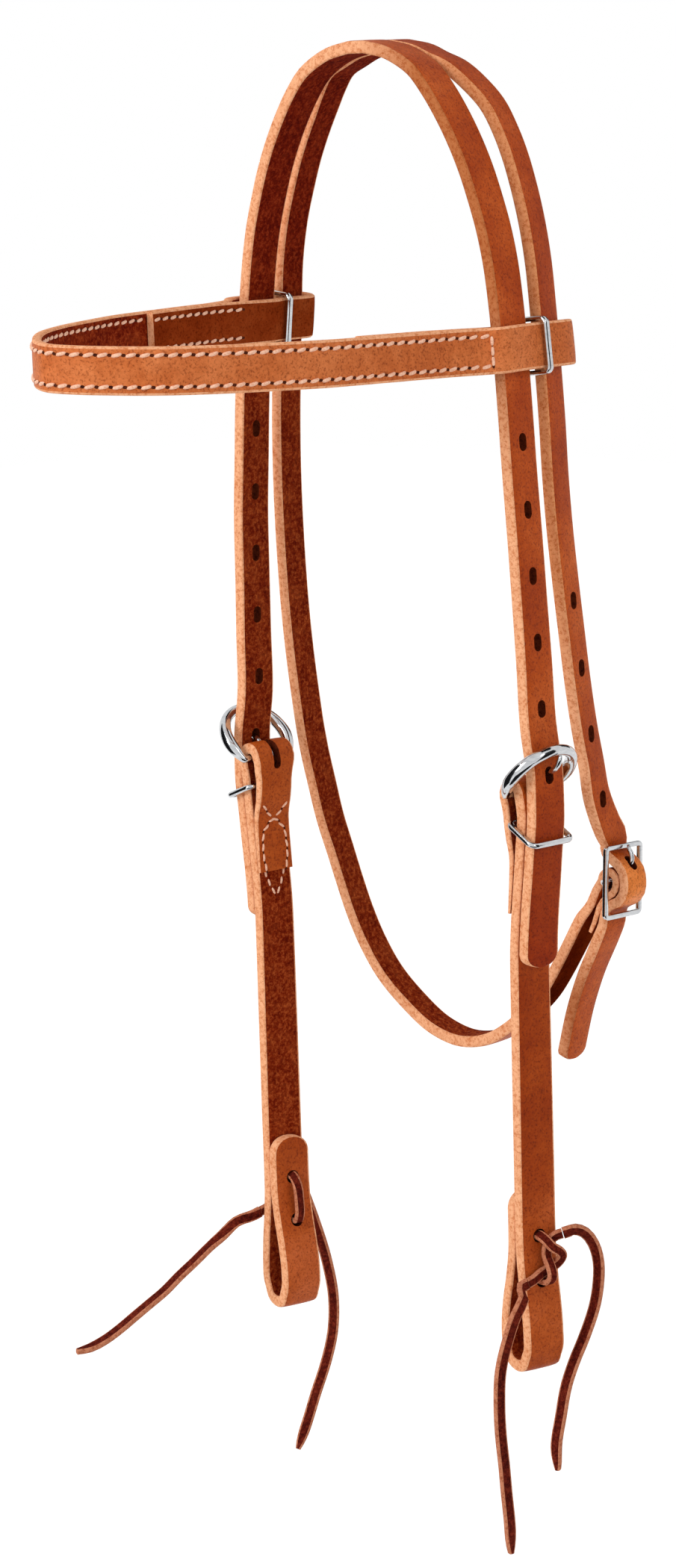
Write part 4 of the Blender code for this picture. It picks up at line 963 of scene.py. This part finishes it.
loop_stock = 0.0019
loop_breadth = 0.0030
loop_corner = 0.0022
loop_side_gap = 0.0009
loop_end_gap = 0.0006
for label, side in (("near", 1), ("far", -1)):
    spread, slope, front, rear_spread, rear, gap = branch_at(side)
    rise = Vector((-side * slope, 0, 1)).normalized()
    out = Vector((side, 0, slope)).normalized()
    centre = Vector((side * (spread + rear_spread) / 2, gap, band_level(side * spread)))
    half_wide = band_offset - band_dip + band_thickness / 2 + loop_side_gap + loop_stock / 2
    half_high = band_height / 2 + loop_end_gap + loop_stock / 2
    ring = [centre + out * x + rise * y for x, y in rounded_box(half_wide, half_high, loop_corner, 6)]
    loop = ring_piece(
        f"browband_wire_loop_{label}",
        ring,
        out.cross(rise).normalized(),
        lambda i: rounded_bar(loop_stock, loop_breadth, 16, 2.4),
    )
    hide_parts(f"browband_loop_{label}")
    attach(loop, f"browband_loop_{label}")

# Cheek straps
# Each is one 5/8 inch strap: folded at the top round the buckle's heel bar, skived and sewn back
# on itself inside, and folded at the bottom into the bit loop, whose lap ends in a round point.
cheek_width = 0.0166
slot_reach = 0.0046
fold_splay = 0.0028
fold_skive = 0.84
return_length = 0.0475
cheek_drop = 0.2336
cheek_fine = 0.0018
lap_gap = 0.0004
lap_length = 0.0690
bit_gape = 0.0110
bit_bulge = 0.0040
bit_seat = 0.0050
lace_hole = 0.0056
lace_pitch = 0.0180
upper_hole_lift = 0.0561
loop_low = -heel_depth - cheek_drop
upper_hole = loop_low + upper_hole_lift
lower_hole = upper_hole - lace_pitch
loop_length = 0.0565
strap_end = heel_spread + fold_middle - settle
lap_middle = strap_end - leather_thickness - lap_gap
lap_bulge = bit_gape - lap_gap - bit_bulge
return_rows = (
    (0.00, fold_skive, 1.0), (0.12, 0.80, 1.0), (0.24, 0.72, 1.0), (0.36, 0.64, 0.72), (0.52, 0.52, 0.15),
    (0.67, 0.44, 0.05), (0.82, 0.36, 0.05), (1.00, 0.26, 0.05),
)
loop_rows = ((0.0, 0.0), (0.13, 0.05), (0.32, 0.35), (0.52, 0.78), (0.70, 1.0), (0.82, 0.94))
loop_floor = ((1.24, 0.80), (0.98, 0.26), (0.5, 0.0))
cavity = 2 * fold_radius + ply_gap
# painted shade and painted light: the cheek grain is darker than the crown's, standing in for the shade on
# the cheeks, and its top round the buckle fold and the bulge of the bit loop are lightened where they face
# the light
cheek_grain = grain_finish(
    "cheek_grain",
    (0.46, 0.078, 0.008),
    (0.37, 0.052, 0.003),
    (0.30, 0.034, 0.001),
    (((1.32, 1.75, 3.6), ("Z", -0.355, -0.335)), ((1.32, 1.8, 5.0), ("Z", -0.43, -0.47))),
)


def loop_bulge(height, amount):
    return amount * read_share(loop_rows, (upper_hole - height) / loop_length)


def return_face(share):
    """Spread of the return's inner face at a share of its length, and its share of full thickness."""
    thin = read_share(return_rows, share, 1)
    opening = read_share(return_rows, share, 2)
    height = -heel_depth - share * return_length
    gap = close_gap + opening * (cavity - close_gap)
    return strap_spread(height) - half_leather - gap - thin * leather_thickness, thin


def cheek_profile():
    """Spread, height and share of full thickness from the skived end round both folds to the lap's end."""
    path = []
    for share, _, _ in reversed(return_rows):
        face, thin = return_face(share)
        path.append((face + thin * half_leather, -heel_depth - share * return_length, thin))
    for i in range(1, 12):
        angle = math.pi * (1 - i / 12)
        thin = fold_skive + (1 - fold_skive) * i / 12
        reach = fold_radius + thin * half_leather
        path.append((heel_spread + reach * math.cos(angle), -heel_depth + reach * math.sin(angle), thin))
    below = -heel_depth - settle_at_shares[-1][0] * billet_tail
    heights = [-heel_depth - share * billet_tail for share, _ in settle_at_shares]
    heights += [below + share * (upper_hole - below) for share in (0.25, 0.5, 0.75)]
    path += [(strap_spread(height), height, 1.0) for height in heights]
    loop_heights = [upper_hole - share * loop_length for share, _ in loop_rows]
    path += [(strap_end + loop_bulge(height, bit_bulge), height, 1.0) for height in loop_heights]
    seat = (strap_end + lap_middle + bit_bulge - lap_bulge) / 2
    for wide, lift in list(loop_floor) + [(-w, l) for w, l in reversed(loop_floor)]:
        path.append((seat + wide * bit_seat, loop_low + half_leather + lift * leather_thickness, 1.0))
    path += [(lap_middle - loop_bulge(height, lap_bulge), height, 1.0) for height in reversed(loop_heights)]
    path.append((lap_middle, loop_low + lap_length + cheek_width / 4, 1.0))
    return path


path = cheek_profile()
points = [Vector((spread, height, 0)) for spread, height, _ in path]
flat_line = drawn_line(points, cheek_fine)
flat_thins = []
for i, (a, b) in enumerate(zip(points, points[1:])):
    steps = max(1, round((b - a).length / cheek_fine))
    flat_thins += [path[i][2] * (1 - s / steps) + path[i + 1][2] * s / steps for s in range(steps)]
flat_thins.append(path[-1][2])
tip_share = 0.42
tip_reach = cheek_width * tip_share
for label, side in (("near", 1), ("far", -1)):
    line = [on_cheek(side, p.x, 0, p.y) for p in flat_line]
    last = line[-1]
    keep = [i for i, p in enumerate(line) if (p - last).length > tip_reach or i < len(line) / 2]
    line = [line[i] for i in keep]
    thins = [flat_thins[i] for i in keep]
    widths = []
    for point in line:
        low = max(0.0, min(1.0, (-heel_depth - point.z) / (2 * slot_reach)))
        widths.append(cheek_width + fold_splay * (1 - low))
    for k in range(9):
        angle = math.pi / 2 * k / 8.4
        line.append(last - straight_up * tip_reach * (1 - math.sin(angle)))
        widths.append(cheek_width * math.cos(angle) ** 0.75)
        thins.append(1.0)
    bar = on_cheek(side, heel_spread, 0, -heel_depth)
    top = fold_radius + leather_thickness + close_gap
    slot_middle = bar + straight_up * (top - slot_reach) / 2
    across = rearward(-heel_depth)
    cutters = [slot_punch(tongue_slot_width, top + slot_reach, 2 * top, slot_middle, across, straight_up)]
    for height in (upper_hole, lower_hole):
        spot = on_cheek(side, (strap_end + lap_middle) / 2, 0, height)
        cutters.append(slot_punch(lace_hole, lace_hole, 0.040, spot, rearward(height), straight_up))
    strap = lay_strap(
        f"cheek_leather_{label}",
        line,
        [rearward(p.z) * side for p in line],
        widths,
        [thin * leather_thickness for thin in thins],
        (cheek_grain, cut_edge, rough_flesh),
        cutters,
    )
    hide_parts(f"cheek_strap_{label}")
    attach(strap, f"cheek_{label}")

# Cheek stitching
# The skived return is sewn down with the same pale thread in the outline of a fish: its tail
# crossed near the fold, and its nose below the skived end.
fish = (
    (-0.75, 0.40), (-0.45, 0.47), (-0.12, 0.53), (0.40, 0.60), (0.68, 0.70), (0.72, 0.84), (0.60, 0.98),
    (0.42, 1.08), (0.20, 1.17), (0.0, 1.22),
)
fish_pitch = 0.0042
fish_stitch = (0.0035, 0.0010)
fish_slant = math.radians(8)
fish_step = 0.03
for label, side in (("near", 1), ("far", -1)):
    sewn = bmesh.new()
    for flip in (1, -1):
        spots, outs = [], []
        for p in drawn_line([Vector((wide * flip, low, 0)) for wide, low in fish], fish_step):
            height = -heel_depth - p.y * return_length
            face = strap_spread(height) - half_leather if p.y > 1.0 else return_face(p.y)[0]
            spots.append(on_cheek(side, face + thread_sink, p.x * cheek_width / 2, height))
            outs.append(-outward(side, height))
        stitch_row(sewn, spots, outs, fish_pitch, *fish_stitch, fish_slant * flip)
    cheek_thread = thread_piece(f"cheek_thread_{label}", sewn)
    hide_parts(f"cheek_stitching_{label}")
    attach(cheek_thread, f"cheek_{label}")

# Horseshoe buckles and their tongues
# Cast and polished: a straight heel bar and a broad rounded arch that lies out over the billet.
# The wire tongue is bent round the heel bar and comes out through the billet to lie on the arch.
arch_rise = 0.0178
arch_stand = 0.0160
heel_half = 0.0118
arch_half = 0.0144
leg_swell = 1.80
arch_swell = 1.36
frame_breadth = 0.0028
frame_height = 0.0031
tongue_eye = 0.0030
tongue_wire = 0.0022
tongue_route = (
    (0.80, 1.17), (2.00, 2.03), (3.27, 2.70), (4.40, 3.10), (5.40, 3.75), (6.00, 4.65), (6.25, 5.35),
)


def wire_piece(name, line, radii):
    """A round wire along a line, with its own radius at each point."""
    ways = way_along(line)
    side = ways[0].orthogonal().normalized()
    frames = []
    for way in ways:
        side = (side - way * side.dot(way)).normalized()
        frames.append((side, way.cross(side)))

    def section_at(i):
        return [(radii[i] * math.cos(a), radii[i] * math.sin(a)) for a in round_angles(14)]

    return swept(name, line, section_at, frames, False)


def bent_tongue(name, bar, out, up, eye_reach, wire, route):
    """A wire tongue: an eye round its bar, then a shank by a route in eye reaches out and up."""
    turns = [math.radians(degrees) for degrees in range(365, 99, -12)]
    eye = [bar + (out * math.cos(a) + up * math.sin(a)) * eye_reach for a in turns]
    shank = [bar + (out * a + up * b) * eye_reach for a, b in route]
    line = eye + drawn_line([eye[-1]] + shank, wire / 2)[1:]
    return wire_piece(name, line, [wire / 2] * (len(line) - 2) + [0.4 * wire, 0.25 * wire])


for label, side in (("near", 1), ("far", -1)):
    bar = on_cheek(side, heel_spread, 0, -heel_depth)
    out, rear = outward(side, -heel_depth), rearward(-heel_depth)
    rise = (out * arch_stand + straight_up * arch_rise).normalized()
    length = math.hypot(arch_stand, arch_rise)
    shoulder = length - arch_half
    outline = []
    for k in range(12):
        bow = math.sin(k / 12 * math.pi / 2)
        leg_half = heel_half + (arch_half - heel_half) * bow
        outline.append((leg_half, shoulder * k / 12, 1 + (leg_swell - 1) * bow))
    for k in range(18):
        angle = math.pi / 2 * k / 18
        swell = leg_swell + (arch_swell - leg_swell) * k / 18
        outline.append((arch_half * math.cos(angle), shoulder + arch_half * math.sin(angle), swell))
    outline += [(0.0, length, arch_swell)] + [(-x, y, swell) for x, y, swell in reversed(outline)]
    outline += [(x * heel_half, 0.0, 1.0) for x in (-0.9, -0.5, 0.0, 0.5, 0.9)]
    buckle = ring_piece(
        f"horseshoe_buckle_{label}",
        [bar + rear * x + rise * y for x, y, _ in outline],
        rear.cross(rise).normalized(),
        lambda i: rounded_bar(frame_breadth * outline[i][2], frame_height * outline[i][2], 20, 2.1),
    )
    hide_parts(f"cheek_buckle_{label}")
    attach(buckle, f"cheek_buckle_{label}")
    sizes = (tongue_eye, tongue_wire, tongue_route)
    tongue = bent_tongue(f"buckle_tongue_{label}", bar, out, straight_up, *sizes)
    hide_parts(f"cheek_tongue_{label}")
    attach(tongue, f"cheek_tongue_{label}")

# Wire keepers
# A bent and butted wire loop: its inner bar lies inside the fold of the cheek strap, and its
# outer bar holds the billet's tail down.
keeper_drop = 0.0116
keeper_inset = 0.00048
keeper_reach = 0.0153
keeper_wire = 0.0024
keeper_corner = 0.0026
keeper_side_gap = 0.0019
keeper_outline = rounded_box(keeper_reach / 2, cheek_width / 2 + keeper_side_gap, keeper_corner, 7)
for label, side, droop in (("near", 1, math.radians(27)), ("far", -1, math.radians(21))):
    height = -heel_depth - keeper_drop
    inner = on_cheek(side, heel_spread - keeper_inset, 0, height)
    out, rear = outward(side, height), rearward(height)
    way = out * math.cos(droop) - straight_up * math.sin(droop)
    centre = inner + way * keeper_reach / 2
    keeper = ring_piece(
        f"wire_keeper_{label}",
        [centre + way * x + rear * y for x, y in keeper_outline],
        way.cross(rear).normalized(),
        lambda i: rounded_bar(keeper_wire, keeper_wire, 16, 2.0),
    )
    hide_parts(f"cheek_keeper_{label}")
    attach(keeper, f"cheek_keeper_{label}")

# Throat buckle and its tongue
# A flat stamped frame with a centre bar dropped inboard on two lugs. The throatlatch is folded
# round the bar, the throat billet bows out over it, and the tongue comes up through both.
throat_frame_width = 0.0232
frame_stock = 0.0020
frame_thickness = 0.0019
frame_corner = 0.0014
bar_drop = 0.0023
bar_radius = 0.0012
lug_bend = 0.0006
lug_reach = 0.0016
lug_step = 0.0006
throat_eye = 0.0026
throat_wire = 0.0020
throat_route = (
    (0.80, 1.20), (1.80, 2.10), (2.50, 2.95), (2.62, 3.60), (2.40, 4.40), (2.03, 5.05), (1.87, 5.60),
)
side_bar = (throat_frame_width - frame_stock) / 2
end_bar = (throat_frame_height - frame_stock) / 2
frame_centre = throat_bar + outboard * bar_drop
throat_frame = ring_piece(
    "throat_frame",
    [frame_centre + lean_rear * x + lean_up * y for x, y in rounded_box(side_bar, end_bar, frame_corner, 7)],
    outboard,
    lambda i: rounded_bar(frame_stock, frame_thickness, 20, 4.5),
)
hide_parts("throat_buckle")
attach(throat_frame, "throat_buckle")
spots = [(-side_bar, bar_drop), (lug_bend - side_bar, bar_drop / 2), (lug_reach - side_bar, 0.0)]
spots += [(-along, drop) for along, drop in reversed(spots)]
line = drawn_line([throat_bar + lean_rear * a + outboard * b for a, b in spots], lug_step)
centre_bar = wire_piece("throat_centre_bar", line, [bar_radius] * len(line))
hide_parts("throat_buckle")
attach(centre_bar, "throat_buckle")
sizes = (throat_eye, throat_wire, throat_route)
tongue = bent_tongue("throat_buckle_tongue", throat_bar, outboard, lean_up, *sizes)
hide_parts("throat_tongue")
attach(tongue, "throat_tongue")

# Latigo laces
# A flat latigo lace closes each bit loop: it goes through the two holes, crosses over itself
# outboard and leaves in two free tails. Its faces are dark red and its cut edges paler.
lace_wide = 0.0046
lace_thick = 0.0024
lace_wire = 0.0032
latigo_face = flesh_finish("latigo_face", (0.26, 0.035, 0.016), (0.115, 0.010, 0.005), (0.045, 0.004, 0.003))
latigo_edge = edge_finish("latigo_edge", (0.62, 0.24, 0.13), (0.34, 0.09, 0.04))
tie_outer_start = (
    (0.13, -2.60, -0.95), (0.15, -1.70, -0.90), (0.15, -0.60, -0.80), (0.15, 0.60, -0.73),
    (0.45, 1.75, -0.62), (1.15, 2.05, -0.45), (1.75, 1.30, -0.28), (1.75, 0.35, -0.16),
    (1.05, -0.10, -0.03), (-0.20, -0.08, 0.01), (-1.50, 0.0, 0.0),
)
tie_inner = (
    (0.0, 0.0, -0.02), (0.55, 0.0, -0.15), (0.75, 0.0, -0.50), (0.35, 0.0, -0.85), (-0.25, 0.0, -1.0),
    (-1.60, 0.0, -1.0),
)
tie_outer_end = (
    (-1.50, 0.0, -1.0), (-0.10, 0.02, -1.0), (0.95, 0.06, -0.96), (1.70, 0.12, -0.80), (1.30, 0.20, -0.62),
    (0.40, 0.35, -0.44), (0.12, 0.60, -0.26), (0.15, 1.15, -0.10), (0.40, 1.80, -0.01), (0.75, 2.50, 0.03),
)
tail_routes = {
    "near_rear": (
        (0.0790, 0.0040, -0.4562), (0.0797, 0.0095, -0.4588), (0.0802, 0.0142, -0.4645),
        (0.0804, 0.0170, -0.4730), (0.0800, 0.0172, -0.4810), (0.0795, 0.0158, -0.4890),
        (0.0785, 0.0095, -0.5022), (0.0780, 0.0034, -0.5110), (0.0775, -0.0008, -0.5190),
        (0.0765, -0.0038, -0.5320), (0.0760, -0.0065, -0.5445), (0.0760, -0.0057, -0.5539),
    ),
    "near_front": (
        (0.0762, -0.0245, -0.4775), (0.0763, -0.0295, -0.4830), (0.0763, -0.0350, -0.4920),
        (0.0760, -0.0390, -0.5025), (0.0760, -0.0404, -0.5160), (0.0760, -0.0400, -0.5290),
        (0.0760, -0.0386, -0.5410), (0.0760, -0.0374, -0.5540), (0.0760, -0.0360, -0.5670),
        (0.0760, -0.0357, -0.5791),
    ),
    "far_rear": (
        (-0.0775, 0.0045, -0.4575), (-0.0785, 0.0095, -0.4625), (-0.0785, 0.0145, -0.4715),
        (-0.0780, 0.0178, -0.4800), (-0.0775, 0.0211, -0.4893), (-0.0770, 0.0268, -0.5075),
        (-0.0770, 0.0300, -0.5253), (-0.0770, 0.0286, -0.5400), (-0.0770, 0.0237, -0.5522),
        (-0.0770, 0.0170, -0.5637), (-0.0770, 0.0107, -0.5754), (-0.0770, 0.0045, -0.5855),
    ),
    "far_front": (
        (-0.0795, -0.0250, -0.4765), (-0.0812, -0.0315, -0.4808), (-0.0828, -0.0382, -0.4847),
        (-0.0845, -0.0455, -0.4895), (-0.0862, -0.0529, -0.4940), (-0.0879, -0.0602, -0.4990),
        (-0.0896, -0.0674, -0.5028), (-0.0913, -0.0746, -0.5066), (-0.0930, -0.0817, -0.5104),
        (-0.0947, -0.0888, -0.5135), (-0.0964, -0.0957, -0.5153), (-0.0981, -0.1012, -0.5156),
    ),
}
tail_faces = {
    "near_rear": Vector((0.15, -0.98, 0.0)), "near_front": Vector((0.95, -0.30, 0.0)),
    "far_rear": Vector((0.50, -0.86, 0.0)), "far_front": Vector((0.10, -0.30, 0.95)),
}


def lace_section(wide, thick):
    """Across and out offsets of a flat lace with rounded edges."""
    edge = min(wide, thick) * 0.30
    points = []
    for x, y, first in ((1, 1, 90), (1, -1, 0), (-1, -1, -90), (-1, 1, -180)):
        for k in range(4):
            angle = math.radians(first - 30 * k)
            across = x * (wide / 2 - edge) + edge * math.cos(angle)
            points.append((across, y * (thick / 2 - edge) + edge * math.sin(angle)))
    return points


def lay_lace(name, line, outs, widths, thick):
    """A flat lace along its middle line: dark faces and paler cut edges."""
    build = bmesh.new()
    rings = []
    for point, out, way, wide in zip(line, outs, way_along(line), widths):
        across = way.cross(out).normalized()
        out = across.cross(way).normalized()
        rings.append([build.verts.new(point + across * c + out * n) for c, n in lace_section(wide, thick)])
    skin_rings(build, rings, lambda k: 0 if k in (7, 15) else 1)
    for ring in (rings[0][::-1], rings[-1]):
        build.faces.new(ring).material_index = 1
    bmesh.ops.recalc_face_normals(build, faces=build.faces)
    return soften(make_piece(name, build, (latigo_face, latigo_edge)))


def tie_faces(line, middle, out_way):
    """The way out of a tie's upper face at each point, eased round so that the lace doesn't twist."""
    outs = []
    last_out = out_way
    for point, way in zip(line, way_along(line)):
        wanted = out_way if (point - middle).dot(out_way) > 0 else -out_way
        if abs(way.dot(out_way)) > 0.75:
            wanted = last_out
        wanted = wanted - way * wanted.dot(way)
        wanted = wanted.normalized() if wanted.length > 0.05 else last_out
        if wanted.dot(last_out) < 0:
            wanted = -wanted
        mixed = last_out * 0.72 + wanted * 0.28
        last_out = (mixed - way * mixed.dot(way)).normalized()
        outs.append(last_out)
    return outs


lace_stand = half_leather + close_gap + lace_wire / 2
tie_step = 0.0012
tie_wide = lace_wide * 0.86
tie_thick = lace_thick * 0.95
tail_step = 0.0030
tail_taper = (0.92, 0.75, 0.45)
for label, side in (("near", 1), ("far", -1)):
    knots = []
    for rows_of_tie, facing in ((tie_outer_start, 1), (tie_inner, -1), (tie_outer_end, 1)):
        for off, along, lift in rows_of_tie:
            height = upper_hole + lift * lace_pitch
            if facing > 0:
                face = strap_end + loop_bulge(height, bit_bulge) + lace_stand
            else:
                face = lap_middle - loop_bulge(height, lap_bulge) - lace_stand
            knots.append(on_cheek(side, face + facing * off * lace_wire, along * lace_wire, height))
    line = drawn_line(knots, tie_step)
    middle = on_cheek(side, (strap_end + lap_middle) / 2, 0, (upper_hole + lower_hole) / 2)
    outs = tie_faces(line, middle, outward(side, upper_hole))
    tie = lay_lace(f"latigo_tie_{label}", line, outs, [tie_wide] * len(line), tie_thick)
    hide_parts(f"lace_tie_{label}")
    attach(tie, f"cheek_{label}")
    for end in ("rear", "front"):
        last, before = (knots[-1], knots[-2]) if end == "rear" else (knots[0], knots[1])
        way = (last - before).normalized()
        route = [last + way * close_gap, last + way * lace_wire]
        path = drawn_line(route + [Vector(spot) for spot in tail_routes[f"{label}_{end}"]], tail_step)
        out = tail_faces[f"{label}_{end}"]
        first = outs[-1] if end == "rear" else outs[0]
        if first.dot(out) < 0:
            first = -first
        shares = [min(1.0, i / 10) for i in range(len(path))]
        fronts = [first * (1 - share) + out * share for share in shares]
        widths = [lace_wide] * (len(path) - len(tail_taper)) + [lace_wide * share for share in tail_taper]
        tail = lay_lace(f"latigo_tail_{label}_{end}", path, fronts, widths, lace_thick)
        length = run_lengths(path)[-1]
        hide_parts(f"lace_tail_{label}_{end}")
        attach(tail, f"cheek_{label}")

# Studio
# A pale floor and backdrop, a large soft lamp in front, a fill from the side and a camera at the
# photograph's angle, a little above the brow and off the near front quarter.
view_back = Vector((0.66954, -0.71799, 0.19029))
view_right = Vector((0.73135, 0.68200, 0.0))
view_up = Vector((-0.12978, 0.13917, 0.98173))
view_roll = math.radians(-1.92)
view_place = Vector((0.9386, -1.0454, -0.0123))
rolled_right = view_right * math.cos(view_roll) + view_up * math.sin(view_roll)
rolled_up = -view_right * math.sin(view_roll) + view_up * math.cos(view_roll)
lens = bpy.data.cameras.new("view")
lens.lens = 82.49
lens.sensor_width = 36
lens.clip_start = 0.05
camera = bpy.data.objects.new("view", lens)
turn = Matrix((rolled_right, rolled_up, view_back)).transposed().to_4x4()
camera.matrix_world = Matrix.Translation(view_place) @ turn
bpy.context.scene.collection.objects.link(camera)
bpy.context.scene.camera = camera
floor_height = -0.95
floor_size = 12.0
floor_share = 0.72
floor_glow = 1.28


def seen_directly(tree):
    """1 for a ray from the camera, or seen in metal or through glass, and 0 for light on its way."""
    paths = add_node(tree, "LightPath").outputs
    seen = add_math(tree, "MAXIMUM", paths["Is Camera Ray"], paths["Is Glossy Ray"])
    return add_math(tree, "MAXIMUM", seen, paths["Is Transmission Ray"])


def show_mix(tree, output, factor, first, second):
    """Sends a mix of two shaders to an output."""
    mix = add_node(tree, "MixShader", {"Fac": factor, 1: first, 2: second})
    feed(tree, tree.nodes[output].inputs["Surface"], mix.outputs["Shader"])


def stage_sheet(name, wide, high, finish):
    """A flat sheet, wide by high, with its finish."""
    build = bmesh.new()
    bmesh.ops.create_grid(build, x_segments=1, y_segments=1, size=0.5)
    bmesh.ops.scale(build, vec=(wide, high, 1), verts=build.verts)
    sheet = make_piece(name, build, (finish,))
    return sheet


floor_finish, tree, shader = finish_nodes("pale_floor", 0.9)
shader.inputs["Base Color"].default_value = (0.9, 0.9, 0.9, 1)
glow = add_node(tree, "Emission", {"Color": (1, 1, 1), "Strength": floor_glow}).outputs["Emission"]
share = add_math(tree, "MULTIPLY", seen_directly(tree), floor_share)
show_mix(tree, "Material Output", share, shader.outputs["BSDF"], glow)
stage_sheet("floor", floor_size, floor_size, floor_finish).location = (0, 0, floor_height)

world = bpy.data.worlds.new("studio")
world.use_nodes = True
bpy.context.scene.world = world
tree = world.node_tree
soft = tree.nodes["Background"]
soft.inputs["Color"].default_value = (1, 0.985, 0.97, 1)
soft.inputs["Strength"].default_value = 0.62
pale = add_node(tree, "Background", {"Color": (1, 1, 1), "Strength": 1.0}).outputs["Background"]
show_mix(tree, "World Output", seen_directly(tree), soft.outputs["Background"], pale)


def aimed(thing, place, aim):
    """Sets a card or a lamp at a place, facing what it is aimed at."""
    thing.location = place
    thing.rotation_euler = (Vector(aim) - Vector(place)).to_track_quat("-Z", "Y").to_euler()


def dark_flag(name, place, aim, wide, high):
    """A dark card such as a studio sets beside bright metal: only polished surfaces show it."""
    made, tree, shader = finish_nodes(name, 1.0, 0.0)
    shader.inputs["Base Color"].default_value = (0.02, 0.02, 0.022, 1)
    clear = add_node(tree, "BsdfTransparent").outputs["BSDF"]
    glossy = add_node(tree, "LightPath").outputs["Is Glossy Ray"]
    show_mix(tree, "Material Output", glossy, clear, shader.outputs["BSDF"])
    aimed(stage_sheet(name, wide, high, made), place, aim)


strap_middle = (0.05, 0, -0.28)
dark_flag("left_flag", (-0.62, -0.58, -0.30), (0.02, 0, -0.28), 1.0, 1.5)
dark_flag("right_flag", (0.85, 0.13, -0.25), strap_middle, 0.5, 1.3)
dark_flag("high_flag", (0.10, 0.15, 0.45), strap_middle, 0.7, 0.35)
dark_flag("low_flag", (0.35, -0.35, -0.80), strap_middle, 0.9, 0.6)
dark_flag("rear_flag", (-0.2, 0.8, 0.2), strap_middle, 0.9, 0.5)


def soft_lamp(name, place, aim, size, power):
    data = bpy.data.lights.new(name, "AREA")
    data.size = size
    data.energy = power
    lamp = bpy.data.objects.new(name, data)
    aimed(lamp, place, aim)
    bpy.context.scene.collection.objects.link(lamp)


soft_lamp("front_lamp", (-0.5, -1.9, 0.7), (0, 0, -0.25), 1.2, 22)
soft_lamp("side_lamp", (1.9, -0.2, 0.8), (0, 0, -0.2), 0.9, 7)
bpy.context.scene.view_settings.view_transform = "Standard"
